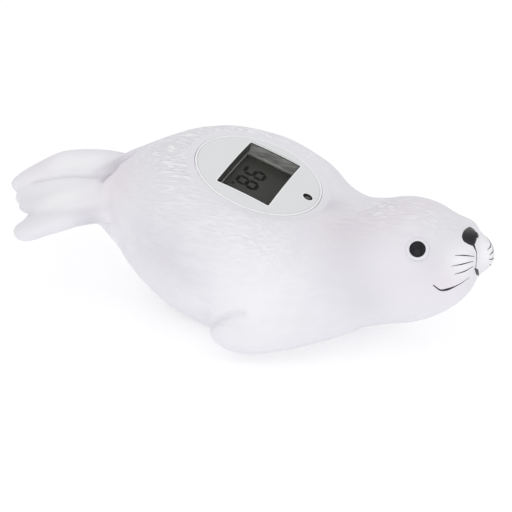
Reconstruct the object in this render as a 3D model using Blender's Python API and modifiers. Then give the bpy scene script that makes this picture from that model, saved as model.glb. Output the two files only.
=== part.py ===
"""Floating bath thermometer in the form of a resting seal pup.

Units are metres, +Z is up and +X runs from tail to nose. The origin is on the
floor, in the middle of the pup's length. A soft vinyl skin holds one sealed
round module, which shows a domed cover on the back and a battery door with a
steel sensor under the belly. The module stands square to its own cover, so it
leans with the back and is modelled in a frame of its own, with Z along its
axis and its origin on top of the cover.
"""

import math
from dataclasses import dataclass

import bmesh
import bpy
from mathutils import Matrix, Vector

MM = 0.001

# Overall form of the pup, without its flippers
TORSO_LENGTH = 133.0 * MM
TORSO_WIDTH = 73.0 * MM
BACK_HEIGHT = 53.5 * MM
SKIN_WALL = 2.2 * MM
FIT = 0.3 * MM

# Part of a slab's half width that its round ends take
STADIUM_ROUNDING = 0.98

# How far a cutter passes the face that it opens
NEAR = 1.0 * MM
FAR = 15.0 * MM

# Sizes of the section drawing below, in its own millimetres
DRAWN_LENGTH = 133.0
DRAWN_WIDTH = 73.0
DRAWN_HEIGHT = 53.5
DRAWN_COVER_HEIGHT = 48.0

SCALE_X = TORSO_LENGTH / DRAWN_LENGTH
SCALE_Y = TORSO_WIDTH / DRAWN_WIDTH
SCALE_Z = BACK_HEIGHT / DRAWN_HEIGHT

# Fineness of the torso's surface
RING_POINTS = 28
RINGS_PER_SPAN = 3
CAVITY_POINTS = 24
CAVITY_RINGS_PER_SPAN = 2

# Eyes
EYE_RADIUS = 2.6 * MM
EYE_DOME = 0.9 * MM
EYE_SEAT = 1.0 * MM
EYE_STATION = 11.1
EYE_ANGLE = 40.5

# Cover of the module
COVER_TILT = math.radians(18.0)
COVER_RADIUS = 21.0 * MM
COVER_THICKNESS = 2.0 * MM
COVER_DOME_RADIUS = 150.0 * MM
COVER_EDGE = 1.5 * MM
COVER_EDGE_ROUND = 0.6 * MM
NECK_RADIUS = 19.9 * MM
NECK_WALL = 0.9 * MM
LIP_THICKNESS = 2.2 * MM

# Collar that the skin raises around the cover
COLLAR_LAND = 1.4 * MM
COLLAR_SLOPE = 4.5 * MM
COLLAR_DROP = 3.2 * MM
DISH_WIDTH = 5.0 * MM
DISH_RISE = 2.8 * MM

# Window and display
WINDOW_LENGTH = 29.4 * MM
WINDOW_WIDTH = 18.2 * MM
WINDOW_LEDGE = 0.5 * MM
WINDOW_WALL = 1.2 * MM
WINDOW_CORNER = 0.5 * MM
SHAFT_CORNER = 1.8 * MM
LENS_THICKNESS = 1.4 * MM
LENS_SINK = 0.3 * MM
LCD_DEPTH = 4.9 * MM
LCD_THICKNESS = 2.2 * MM
HOLDER_THICKNESS = 2.5 * MM
HOLDER_WALL = 1.0 * MM
ZEBRA_WIDTH = 1.6 * MM

# Board and what stands on it
BOARD_RADIUS = 18.7 * MM
BOARD_THICKNESS = 1.2 * MM
LED_RADIUS = 1.35 * MM
LED_REACH = 17.2 * MM
LED_SINK = 0.5 * MM
CHIP_RADIUS = 4.0 * MM
CHIP_HEIGHT = 1.2 * MM
CRYSTAL_RADIUS = 1.0 * MM
CRYSTAL_LENGTH = 6.0 * MM
CRYSTAL_X = 7.0 * MM
CRYSTAL_Y = -4.0 * MM

# Housing cup
CUP_RADIUS = 20.2 * MM
CUP_SHOULDER = 1.0 * MM
CUP_INNER_RADIUS = 19.0 * MM
SEAL_WIDTH = 0.6 * MM
SEAL_HEIGHT = 1.1 * MM
TURRET_RADIUS = 15.0 * MM
TURRET_BEAD = 0.9 * MM
TURRET_BEAD_HEIGHT = 1.4 * MM
TURRET_CONE = 5.0 * MM
TURRET_STEP = 2.0 * MM
SHOULDER_HEIGHT = 1.6 * MM
FLOOR_CLEARANCE = 1.2 * MM
POCKET_MARGIN = 1.2 * MM

# Housing screws
BOSS_CIRCLE = 17.2 * MM
BOSS_ANGLES = (180.0, 42.0, -42.0)
BOSS_BORE = 2.0 * MM
BOSS_WALL = 0.9 * MM
BOSS_TOP = 2.4 * MM
SCREW_HEAD_RADIUS = 1.7 * MM
SCREW_HEAD_HEIGHT = 1.4 * MM
SCREW_SHANK_RADIUS = 0.8 * MM
SCREW_LENGTH = 7.0 * MM
POST_WALL = 0.4 * MM

# Board screws
BOARD_SCREW_X = -13.2 * MM
BOARD_SCREW_Y = 9.2 * MM
BOARD_SCREW_SHANK = 0.8 * MM
BOARD_SCREW_HEAD = 1.6 * MM
BOARD_SCREW_LENGTH = 5.0 * MM
BOARD_SCREW_HEAD_HEIGHT = 1.0 * MM

# Battery bay, for two button cells side by side
CELL_RADIUS = 5.8 * MM
CELL_HEIGHT = 5.4 * MM
CELL_GAP = 0.4 * MM
BAY_ROOF = 1.6 * MM
CONTACT_RADIUS = 3.6 * MM
CONTACT_THICKNESS = 0.3 * MM
CONTACT_PIN_RADIUS = 0.6 * MM
CONTACT_PIN_REACH = 1.6 * MM
DOOR_THICKNESS = 1.6 * MM
DOOR_SEAL_WIDTH = 1.0 * MM
DOOR_SEAL_HEIGHT = 0.8 * MM
DOOR_LUG_RADIUS = 3.2 * MM
DOOR_LUG_X = -9.6 * MM
DOOR_LUG_STEP = 0.1 * MM
DOOR_SCREW_LENGTH = 5.0 * MM
DOOR_SCREW_SINK = 1.0 * MM

# Sensor
SENSOR_X = 11.3 * MM
SENSOR_RADIUS = 2.2 * MM
SENSOR_WALL = 0.4 * MM
SENSOR_TIP = 0.4
SENSOR_FLANGE = 1.1 * MM
SENSOR_FLANGE_HEIGHT = 0.6 * MM
SENSOR_PROUD = 0.6 * MM
BEAD_RADIUS = 1.2 * MM

# Wires inside the cup
LEAD_RADIUS = 0.5 * MM
LEAD_RISE = 4.0 * MM
LEAD_BOW = 3.0 * MM
LEAD_SPREAD = 4.0 * MM

# Depths below the top of the cover, worked out from the sizes above
COVER_SAG = COVER_DOME_RADIUS - math.sqrt(COVER_DOME_RADIUS**2 - COVER_RADIUS**2)
LIP_TOP = COVER_SAG + COVER_EDGE + FIT
NECK_END = LIP_TOP + LIP_THICKNESS + FIT
CUP_TOP = NECK_END + FIT
HOLDER_TOP = LCD_DEPTH + LCD_THICKNESS + FIT
BOARD_TOP = HOLDER_TOP + HOLDER_THICKNESS + FIT
BOARD_BOTTOM = BOARD_TOP + BOARD_THICKNESS
POST_END = BOARD_BOTTOM + 2 * FIT
BOSS_START = POST_END + FIT
BOSS_SEAT = BOSS_START + BOSS_TOP

# Place of the module: its cover lies on the back, its foot clears the floor
COVER_HEIGHT = DRAWN_COVER_HEIGHT * SCALE_Z
BEAD_OUTER = TURRET_RADIUS + TURRET_BEAD
MODULE_DEPTH = (
    COVER_HEIGHT - FLOOR_CLEARANCE - BEAD_OUTER * math.sin(COVER_TILT)
) / math.cos(COVER_TILT)
TURRET_LIP = MODULE_DEPTH - TURRET_BEAD_HEIGHT - FIT
SHOULDER_FOOT = TURRET_LIP - LIP_THICKNESS - FIT
DOOR_RECESS = MODULE_DEPTH - DOOR_THICKNESS - DOOR_SEAL_HEIGHT - 2 * FIT
CELL_FOOT = MODULE_DEPTH - DOOR_THICKNESS - CONTACT_THICKNESS - 2 * FIT
BAY_TOP = CELL_FOOT - CELL_HEIGHT - CONTACT_THICKNESS - 2 * FIT
CUP_FLOOR = BAY_TOP - BAY_ROOF
CELL_Y = CELL_RADIUS + CELL_GAP / 2
BAY_HALF_WIDTH = CELL_RADIUS + FIT
BAY_HALF_LENGTH = CELL_Y + CELL_RADIUS + FIT
DOOR_HALF_WIDTH = BAY_HALF_WIDTH + DOOR_SEAL_WIDTH + 2 * FIT
DOOR_HALF_LENGTH = BAY_HALF_LENGTH + DOOR_SEAL_WIDTH + 2 * FIT


@dataclass(frozen=True)
class Station:
    """One cross-section of the torso, in drawing millimetres.

    x is measured from the middle of the cover. half_width, top and bottom
    bound the section, squareness goes from 2 for an ellipse upwards, and
    aside is how far the section stands to the left.
    """

    x: float
    half_width: float
    top: float
    bottom: float
    squareness: float
    aside: float = 0.0


STATIONS = (
    Station(-60.0, 8.5, 36.0, 24.0, 2.0, 0.8),
    Station(-54.0, 12.0, 40.5, 19.5, 2.1, 1.0),
    Station(-47.0, 17.0, 44.5, 15.3, 2.2, 0.8),
    Station(-37.0, 24.8, 50.0, 10.0, 2.3, 0.2),
    Station(-26.0, 31.4, 53.5, 3.6, 2.5),
    Station(-13.0, 35.3, 52.6, -0.6, 2.8),
    Station(1.0, 36.5, 49.6, -0.8, 3.2),
    Station(14.0, 34.7, 45.5, -0.8, 3.2),
    Station(25.0, 28.5, 40.8, 0.6, 2.6),
    Station(35.0, 23.3, 41.2, 3.0, 2.3),
    Station(46.0, 20.5, 44.4, 5.8, 2.2),
    Station(56.0, 18.0, 44.4, 8.4, 2.2, -0.2),
    Station(63.0, 16.0, 42.0, 12.0, 2.2, -0.8),
    Station(68.5, 13.3, 39.3, 16.4, 2.2, -1.5),
    Station(71.5, 9.5, 36.5, 20.5, 2.2, -2.0),
    Station(72.8, 5.0, 33.0, 25.0, 2.2, -2.2),
)


@dataclass(frozen=True)
class Paddle:
    """A flipper or a toe of one: an oval section swept along a smooth spine.

    spine points, half chords and half thicknesses are drawing millimetres.
    chord is the direction across the paddle.
    """

    name: str
    spine: tuple
    half_chords: tuple
    half_thicknesses: tuple
    chord: tuple


FORE_SPINE = ((40, 14, 15), (30, 23, 12.5), (17, 31, 10.2), (6, 35.3, 9.2), (-3.0, 36.3, 10.2))
FORE_CHORDS = (5.0, 7.5, 7.5, 6.5, 2.5)
FORE_THICKNESSES = (5.0, 5.5, 5.0, 4.0, 1.6)
FORE_CHORD = (0.0, 0.25, -0.97)

# The tail is turned a little to the right, about the end of the rump
TAIL_PIVOT = (-50.0, 0.0)
TAIL_SWING = math.radians(14.0)
TAIL_HEIGHTS = (31.0, 30.0, 27.0, 23.5, 22.0)
TOE_CHORDS = (7.5, 8.6, 8.6, 6.4, 2.2)
TOE_THICKNESSES = (5.0, 4.8, 4.4, 3.4, 1.4)

# Sideways places of each toe at its root, middle and tip, its reach and lift
TOES = (
    ("toe_left_outer", 9.0, 15.0, 12.0, 38.5, 3.2),
    ("toe_left_inner", 3.5, 6.0, 4.5, 35.0, 1.8),
    ("toe_right_inner", -4.4, -6.2, -4.8, 32.5, 0.4),
    ("toe_right_outer", -8.0, -14.6, -16.8, 31.0, 0.0),
)

# Muzzle pads and nose, as centre and radii in drawing millimetres. The
# muzzle is turned a little to the right.
MUZZLE_PADS = (
    ((68.8, 6.2, 29.0), (7.2, 7.2, 6.8)),
    ((65.6, -8.6, 29.6), (7.2, 7.2, 6.4)),
)
NOSE = ((69.4, -1.6, 37.6), (3.4, 4.4, 3.2))


def scaled(point):
    """A point of the drawing, at the pup's real size."""
    return Vector((point[0] * SCALE_X, point[1] * SCALE_Y, point[2] * SCALE_Z))


# Scene, collections and materials


def clear_scene():
    """Remove every object of the startup scene."""
    for obj in list(bpy.data.objects):
        bpy.data.objects.remove(obj, do_unlink=True)


def make_collection(name):
    """A new collection under the scene's own."""
    collection = bpy.data.collections.new(name)
    bpy.context.scene.collection.children.link(collection)
    return collection


def make_material(name, colour, roughness, metallic=0.0, alpha=1.0):
    """A Principled material with one plain colour."""
    material = bpy.data.materials.new(name)
    material.use_nodes = True
    shader = material.node_tree.nodes["Principled BSDF"]
    shader.inputs["Base Color"].default_value = (*colour, 1.0)
    shader.inputs["Roughness"].default_value = roughness
    shader.inputs["Metallic"].default_value = metallic
    shader.inputs["Alpha"].default_value = alpha
    material.diffuse_color = (*colour, alpha)
    return material


clear_scene()
PARTS = make_collection("bath_thermometer")
CUTTERS = make_collection("cutters")

VINYL = make_material("white_vinyl", (0.80, 0.79, 0.82), 0.55)
GLOSS_BLACK = make_material("gloss_black", (0.015, 0.014, 0.017), 0.15)
WHITE_ABS = make_material("white_abs", (0.70, 0.71, 0.73), 0.35)
CLEAR = make_material("clear_acrylic", (0.85, 0.87, 0.88), 0.05, alpha=0.3)
LCD_GREY = make_material("lcd_grey", (0.05, 0.06, 0.05), 0.3)
BOARD_GREEN = make_material("board_green", (0.02, 0.16, 0.07), 0.5)
RUBBER = make_material("black_rubber", (0.03, 0.03, 0.03), 0.7)
EPOXY = make_material("black_epoxy", (0.01, 0.01, 0.01), 0.3)
STEEL = make_material("steel", (0.62, 0.62, 0.63), 0.25, metallic=1.0)
BRASS = make_material("brass", (0.75, 0.55, 0.25), 0.3, metallic=1.0)
RED_LED = make_material("led_red", (0.20, 0.03, 0.03), 0.15)
RED_WIRE = make_material("red_wire", (0.6, 0.03, 0.02), 0.5)
BLACK_WIRE = make_material("black_wire", (0.02, 0.02, 0.02), 0.5)


def make_empty(name, parent=None):
    """An empty that carries other objects."""
    empty = bpy.data.objects.new(name, None)
    PARTS.objects.link(empty)
    empty.parent = parent
    return empty


PUP = make_empty("pup")
MODULE = make_empty("module", PUP)
MODULE.location = (0.0, 0.0, COVER_HEIGHT)
MODULE.rotation_euler = (0.0, COVER_TILT, 0.0)


# Making objects


def finish(obj, material, parent, cutter):
    """Give an object its material, parent and collection."""
    if material is not None:
        obj.data.materials.append(material)
    obj.parent = parent
    if cutter:
        CUTTERS.objects.link(obj)
        obj.hide_render = True
        obj.display_type = "WIRE"
    else:
        PARTS.objects.link(obj)
    return obj


def from_bmesh(name, bm, material=None, parent=MODULE, cutter=False):
    """An object from a bmesh, shaded smooth but for its sharp edges."""
    mesh = bpy.data.meshes.new(name)
    bm.to_mesh(mesh)
    bm.free()
    mesh.shade_smooth()
    mesh.set_sharp_from_angle(angle=math.radians(35.0))
    return finish(bpy.data.objects.new(name, mesh), material, parent, cutter)


def turned(name, profile, material=None, parent=MODULE, steps=32, cutter=False, closed=False):
    """A turned solid. The profile runs down its outer side, as (radius, z)."""
    mesh = bpy.data.meshes.new(name)
    points = [(radius, 0.0, z) for radius, z in profile]
    edges = [(i, i + 1) for i in range(len(points) - 1)]
    if closed:
        edges.append((len(points) - 1, 0))
    mesh.from_pydata(points, edges, [])
    obj = finish(bpy.data.objects.new(name, mesh), material, parent, cutter)
    screw = obj.modifiers.new("turn", "SCREW")
    screw.steps = steps
    screw.render_steps = steps
    screw.use_merge_vertices = True
    screw.merge_threshold = 0.00001
    screw.use_smooth_shade = True
    return obj


def disc_profile(radius, top, bottom):
    """Profile of a plain disc or rod between two heights."""
    return [(0.0, top), (radius, top), (radius, bottom), (0.0, bottom)]


def ring_profile(outer, inner, top, bottom):
    """Profile of a plain ring between two heights."""
    return [(outer, top), (outer, bottom), (inner, bottom), (inner, top)]


def rod(name, radius, top, bottom, place=(0.0, 0.0), material=None, steps=16, cutter=False):
    """A plain rod along the module's axis, at a place across it."""
    obj = turned(name, disc_profile(radius, top, bottom), material, steps=steps, cutter=cutter)
    obj.location = (*place, 0.0)
    return obj


def add_box(bm, size, centre):
    """Add a plain box to a bmesh."""
    matrix = Matrix.Translation(centre) @ Matrix.Diagonal((*size, 1.0))
    bmesh.ops.create_cube(bm, size=1.0, matrix=matrix)


def round_uprights(bm, height, corner, segments):
    """Round the upright edges of a box."""
    upright = [e for e in bm.edges if abs((e.verts[0].co - e.verts[1].co).z) > height / 2]
    bmesh.ops.bevel(bm, geom=upright, offset=corner, segments=segments, profile=0.5, affect="EDGES")


def block(name, size, top, corner=0.0, material=None, cutter=False, place=(0.0, 0.0)):
    """A flat block under a height, with its upright corners rounded."""
    bm = bmesh.new()
    centre = Vector((*place, top - size[2] / 2))
    add_box(bm, size, centre)
    if corner:
        round_uprights(bm, size[2], corner, 3)
    return from_bmesh(name, bm, material, cutter=cutter)


def tool_rod(name, radius, top, bottom, place=(0.0, 0.0), steps=16):
    """A rod that cuts another solid or joins it."""
    return rod(name, radius, top, bottom, place, steps=steps, cutter=True)


def tool_block(name, size, top, corner=0.0, place=(0.0, 0.0)):
    """A block that cuts another solid or joins it."""
    return block(name, size, top, corner, cutter=True, place=place)


def stadium(name, half_length, half_width, top, bottom, material=None, cutter=False):
    """A slab with round ends, long across the module."""
    bm = bmesh.new()
    size = (2 * half_width, 2 * half_length, top - bottom)
    centre = Vector((0.0, 0.0, (top + bottom) / 2))
    add_box(bm, size, centre)
    round_uprights(bm, size[2], half_width * STADIUM_ROUNDING, 6)
    return from_bmesh(name, bm, material, cutter=cutter)


def boolean(target, other, operation):
    """Join, cut or keep the overlap of two solids."""
    modifier = target.modifiers.new(other.name, "BOOLEAN")
    modifier.operation = operation
    modifier.solver = "EXACT"
    modifier.object = other


def cut(target, *others):
    """Take the others out of the target."""
    for other in others:
        boolean(target, other, "DIFFERENCE")


def join(target, *others):
    """Add the others to the target."""
    for other in others:
        boolean(target, other, "UNION")


# The torso's surface


def through(values, place):
    """A smooth curve through the values, read at a place counted in values."""
    last = len(values) - 1
    index = min(int(place), last - 1)
    t = place - index
    before = values[max(index - 1, 0)]
    start = values[index]
    end = values[index + 1]
    after = values[min(index + 2, last)]
    bend = 2 * before - 5 * start + 4 * end - after
    twist = -before + 3 * start - 3 * end + after
    return 0.5 * (2 * start + (end - before) * t + bend * t**2 + twist * t**3)


def section_at(place, inset=0.0):
    """Section of the torso at a place counted in stations, in real size."""
    x = through([s.x for s in STATIONS], place) * SCALE_X
    half_width = through([s.half_width for s in STATIONS], place) * SCALE_Y - inset
    top = through([s.top for s in STATIONS], place) * SCALE_Z - inset
    bottom = through([s.bottom for s in STATIONS], place) * SCALE_Z
    if inset:
        bottom = max(bottom, 0.0) + inset
    squareness = through([s.squareness for s in STATIONS], place)
    aside = through([s.aside for s in STATIONS], place) * SCALE_Y
    return x, half_width, top, bottom, squareness, aside


def skin_point(place, angle, inset=0.0):
    """Point of the torso's surface, at an angle up from its left side."""
    x, half_width, top, bottom, squareness, aside = section_at(place, inset)
    half_height = (top - bottom) / 2
    across = abs(math.cos(angle) / half_width) ** squareness
    upward = abs(math.sin(angle) / half_height) ** squareness
    radius = (across + upward) ** (-1 / squareness)
    middle = (top + bottom) / 2
    return Vector((x, aside + radius * math.cos(angle), middle + radius * math.sin(angle)))


def skin_normal(place, angle):
    """Outward direction of the torso's surface."""
    step = 0.01
    along = skin_point(place + step, angle) - skin_point(place - step, angle)
    around = skin_point(place, angle + step) - skin_point(place, angle - step)
    return around.cross(along).normalized()


def bridge_rings(bm, rings):
    """Skin between rings of points, closed at both ends."""
    rows = [[bm.verts.new(point) for point in ring] for ring in rings]
    for row, following in zip(rows, rows[1:]):
        for i in range(len(row)):
            j = (i + 1) % len(row)
            bm.faces.new((row[i], row[j], following[j], following[i]))
    bm.faces.new(rows[0])
    bm.faces.new(rows[-1])
    bmesh.ops.recalc_face_normals(bm, faces=bm.faces)


def torso(name, points, per_span, first, last, inset, material=None, cutter=False):
    """The lofted torso, or its hollow where an inset is given."""
    count = round((last - first) * per_span)
    places = [first + (last - first) * i / count for i in range(count + 1)]
    angles = [2 * math.pi * i / points for i in range(points)]
    bm = bmesh.new()
    bridge_rings(bm, [[skin_point(p, a, inset) for a in angles] for p in places])
    return from_bmesh(name, bm, material, parent=PUP, cutter=cutter)


def paddle(shape, rings=10, points=14):
    """A flipper or toe as a swept oval, for joining to the torso."""
    spine = [scaled(point) for point in shape.spine]
    chord = Vector(shape.chord).normalized()
    ovals = []
    for i in range(rings):
        place = (len(spine) - 1) * i / (rings - 1)
        ahead = through(spine, min(place + 0.1, len(spine) - 1))
        behind = through(spine, max(place - 0.1, 0.0))
        forward = (ahead - behind).normalized()
        thick = forward.cross(chord).normalized()
        across = thick.cross(forward).normalized()
        half_chord = through(shape.half_chords, place) * SCALE_Z
        half_thickness = through(shape.half_thicknesses, place) * SCALE_Z
        centre = through(spine, place)
        ovals.append([
            centre + across * half_chord * math.cos(a) + thick * half_thickness * math.sin(a)
            for a in [2 * math.pi * k / points for k in range(points)]
        ])
    bm = bmesh.new()
    bridge_rings(bm, ovals)
    return from_bmesh(shape.name, bm, parent=PUP, cutter=True)


def ellipsoid(name, centre, radii, segments=16, rings=10):
    """An ellipsoid of the face, for joining to the torso."""
    bm = bmesh.new()
    matrix = Matrix.Translation(scaled(centre)) @ Matrix.Diagonal((*scaled(radii), 1.0))
    bmesh.ops.create_uvsphere(bm, u_segments=segments, v_segments=rings, radius=1.0, matrix=matrix)
    return from_bmesh(name, bm, parent=PUP, cutter=True)


def tail_point(back, aside, height):
    """A point of the tail, in drawing millimetres, with the tail's swing."""
    return (
        TAIL_PIVOT[0] - back * math.cos(TAIL_SWING) - aside * math.sin(TAIL_SWING),
        TAIL_PIVOT[1] - back * math.sin(TAIL_SWING) + aside * math.cos(TAIL_SWING),
        height,
    )


def make_flippers():
    """Two fore flippers against the flanks, and four toes of the tail."""
    shapes = []
    for side, name in ((1, "fore_flipper_left"), (-1, "fore_flipper_right")):
        spine = tuple((x, side * y, z) for x, y, z in FORE_SPINE)
        chord = (FORE_CHORD[0], side * FORE_CHORD[1], FORE_CHORD[2])
        shapes.append(Paddle(name, spine, FORE_CHORDS, FORE_THICKNESSES, chord))
    for name, root, middle, tip, reach, lift in TOES:
        backs = (-4.0, reach * 0.3, reach * 0.62, reach * 0.9, reach)
        asides = (root, (root + 2 * middle) / 3, middle, (middle + 2 * tip) / 3, tip)
        heights = [height + lift for height in TAIL_HEIGHTS]
        spine = tuple(tail_point(*p) for p in zip(backs, asides, heights))
        shapes.append(Paddle(name, spine, TOE_CHORDS, TOE_THICKNESSES, (0.0, 1.0, 0.0)))
    return [paddle(shape) for shape in shapes]


def face_place(side):
    """Centre and outward direction of an eye. side is 1 for left."""
    angle = math.radians(EYE_ANGLE if side > 0 else 180.0 - EYE_ANGLE)
    point = skin_point(EYE_STATION, angle)
    normal = skin_normal(EYE_STATION, angle)
    if normal.dot(Vector((0.0, side, 0.3))) < 0:
        normal.negate()
    return point, normal


def point_along(obj, place, direction):
    """Stand a turned object on a place, with its axis along a direction."""
    obj.location = place
    obj.rotation_euler = direction.to_track_quat("Z", "Y").to_euler()


def solid_pup():
    """The pup before it is hollowed: torso, flippers, face and collar."""
    last = len(STATIONS) - 1.0
    body = torso("seal_body", RING_POINTS, RINGS_PER_SPAN, 0.0, last, 0.0, VINYL)
    join(body, *make_flippers())
    for index, (centre, radii) in enumerate(MUZZLE_PADS):
        join(body, ellipsoid(f"muzzle_pad_{index + 1}", centre, radii))
    join(body, ellipsoid("nose_form", *NOSE))

    collar_top = COVER_RADIUS + COLLAR_LAND
    collar_foot = collar_top + COLLAR_SLOPE
    collar_depth = -COVER_SAG - COLLAR_DROP
    profile = [
        (0.0, -COVER_SAG),
        (collar_top, -COVER_SAG),
        (collar_foot, collar_depth),
        (0.0, collar_depth),
    ]
    join(body, turned("back_collar", profile, steps=40, cutter=True))
    dish = [
        (0.0, FAR),
        (collar_top + 2 * DISH_WIDTH, FAR),
        (collar_top + DISH_WIDTH, DISH_RISE - COVER_SAG),
        (collar_top, -COVER_SAG),
        (0.0, -COVER_SAG),
    ]
    cut(body, turned("back_dish", dish, steps=36, cutter=True))
    return body


def hollow_out(body):
    """Take out the inside, but for the walls that hold the module."""
    hollow = torso("hollow", CAVITY_POINTS, CAVITY_RINGS_PER_SPAN, 2.0, 12.0, SKIN_WALL, cutter=True)
    rim_radius = COVER_RADIUS + FIT + SKIN_WALL
    well_radius = BEAD_OUTER + POCKET_MARGIN + SKIN_WALL
    back_rim = tool_rod("back_rim", rim_radius, FAR, -NECK_END + FIT, steps=40)
    well = tool_rod("belly_well", well_radius, -SHOULDER_FOOT - FIT, -MODULE_DEPTH - FAR, steps=36)
    cut(hollow, back_rim, well)
    cut(body, hollow)


def cut_module_seats(body):
    """Open the cover's seat on the back, and the foot's pocket in the belly."""
    pocket_radius = BEAD_OUTER + POCKET_MARGIN
    hole_radius = TURRET_RADIUS + FIT
    seat = tool_rod("cover_seat", COVER_RADIUS + FIT, FAR, -LIP_TOP, steps=40)
    back_hole = tool_rod("back_hole", NECK_RADIUS + FIT, FAR, -NECK_END - 3 * NEAR, steps=40)
    pocket = tool_rod("belly_pocket", pocket_radius, -TURRET_LIP, -MODULE_DEPTH - FAR, steps=36)
    belly_hole = tool_rod("belly_hole", hole_radius, -SHOULDER_FOOT + 3 * NEAR, -MODULE_DEPTH, steps=36)
    cut(body, seat, back_hole, pocket, belly_hole)


def cut_eye_sockets(body):
    """Sink a round socket for each eye."""
    for side, name in ((1, "left"), (-1, "right")):
        place, normal = face_place(side)
        profile = disc_profile(EYE_RADIUS + FIT, 4 * NEAR, -EYE_SEAT - FIT)
        socket = turned(f"socket_{name}", profile, parent=PUP, steps=20, cutter=True)
        point_along(socket, place, normal)
        cut(body, socket)


def cut_floor(body):
    """Take off what lies below the floor, so that the belly rests flat."""
    bm = bmesh.new()
    add_box(bm, (2 * TORSO_LENGTH, 2 * TORSO_WIDTH, 2 * FAR), (0.0, 0.0, -FAR))
    cut(body, from_bmesh("floor_cut", bm, parent=PUP, cutter=True))


def make_seal_body():
    """The hollow vinyl skin with its flippers, face and two seats."""
    body = solid_pup()
    hollow_out(body)
    cut_module_seats(body)
    cut_eye_sockets(body)
    cut_floor(body)
    return body


def make_eyes():
    """Two domed black eyes, each in its socket."""
    sphere = (EYE_RADIUS**2 + EYE_DOME**2) / (2 * EYE_DOME)
    sweep = math.asin(EYE_RADIUS / sphere)
    angles = [sweep * i / 5 for i in range(6)]
    dome = [(sphere * math.sin(a), EYE_DOME - sphere * (1 - math.cos(a))) for a in angles]
    profile = [*dome, (EYE_RADIUS, -EYE_SEAT), (0.0, -EYE_SEAT)]
    for side, name in ((1, "left"), (-1, "right")):
        place, normal = face_place(side)
        eye = turned(f"eye_{name}", profile, GLOSS_BLACK, PUP, steps=20)
        point_along(eye, place, normal)


# The module


def dome_depth(radius, thickness=0.0):
    """Depth of the cover's dome below its top, at a radius."""
    dome = COVER_DOME_RADIUS - thickness
    return COVER_DOME_RADIUS - math.sqrt(dome**2 - radius**2)


def boss_places():
    """Number and place of each housing screw across the module."""
    for index, angle in enumerate(BOSS_ANGLES):
        turn = math.radians(angle)
        yield index + 1, (BOSS_CIRCLE * math.cos(turn), BOSS_CIRCLE * math.sin(turn))


def board_screw_places():
    """Side and place of each screw of the board."""
    yield "left", (BOARD_SCREW_X, BOARD_SCREW_Y)
    yield "right", (BOARD_SCREW_X, -BOARD_SCREW_Y)


def cover_profile():
    """Profile of the cover: dome, rounded edge, seat, neck and inside."""
    flat = COVER_RADIUS - COVER_EDGE_ROUND
    outer = [(flat * i / 6, -dome_depth(flat * i / 6)) for i in range(7)]
    edge_top = -dome_depth(flat)
    turns = [math.pi / 2 * i / 4 for i in range(1, 5)]
    rounding = [
        (flat + COVER_EDGE_ROUND * math.sin(a), edge_top - COVER_EDGE_ROUND * (1 - math.cos(a)))
        for a in turns
    ]
    edge_foot = -(LIP_TOP - FIT)
    bore = NECK_RADIUS - NECK_WALL
    radii = [bore * i / 4 for i in range(4, -1, -1)]
    return [
        *outer,
        *rounding,
        (COVER_RADIUS, edge_foot),
        (NECK_RADIUS, edge_foot),
        (NECK_RADIUS, -NECK_END),
        (bore, -NECK_END),
        *[(radius, -dome_depth(radius, COVER_THICKNESS)) for radius in radii],
    ]


def make_top_cover():
    """The domed white cover, with its neck, window shaft and screw posts."""
    cover = turned("top_cover", cover_profile(), WHITE_ABS, steps=40)

    shaft_top = -dome_depth(0.0, COVER_THICKNESS) + COVER_THICKNESS / 4
    shaft_height = shaft_top + LCD_DEPTH + LCD_THICKNESS
    size = (WINDOW_WIDTH + 2 * WINDOW_WALL, WINDOW_LENGTH + 2 * WINDOW_WALL, shaft_height)
    join(cover, tool_block("window_shaft", size, shaft_top, SHAFT_CORNER))

    post_top = -dome_depth(BOSS_CIRCLE, COVER_THICKNESS) + COVER_THICKNESS / 3
    pilot = SCREW_SHANK_RADIUS + FIT
    pilot_top = -POST_END + SCREW_LENGTH - BOSS_TOP + FIT
    for number, place in boss_places():
        join(cover, tool_rod(f"screw_post_{number}", pilot + POST_WALL, post_top, -POST_END, place))
        cut(cover, tool_rod(f"screw_pilot_{number}", pilot, pilot_top, -POST_END - NEAR, place, 12))
    pilot = BOARD_SCREW_SHANK + FIT
    pilot_top = -BOARD_BOTTOM + BOARD_SCREW_LENGTH + FIT
    for name, place in board_screw_places():
        join(cover, tool_rod(f"board_post_{name}", pilot + POST_WALL, post_top, -BOARD_TOP + FIT, place))
        cut(cover, tool_rod(f"board_pilot_{name}", pilot, pilot_top, -BOARD_TOP - NEAR, place, 12))

    lens_seat = LENS_SINK + LENS_THICKNESS + FIT
    opening = (WINDOW_WIDTH, WINDOW_LENGTH, lens_seat + NEAR)
    shaft = (WINDOW_WIDTH - 2 * WINDOW_LEDGE, WINDOW_LENGTH - 2 * WINDOW_LEDGE, FAR)
    cut(cover, tool_block("window_opening", opening, NEAR, WINDOW_CORNER))
    cut(cover, tool_block("shaft_opening", shaft, NEAR, WINDOW_CORNER))
    cut(cover, tool_rod("led_hole", LED_RADIUS + FIT, NEAR, -LCD_DEPTH, (LED_REACH, 0.0)))
    return cover


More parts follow.
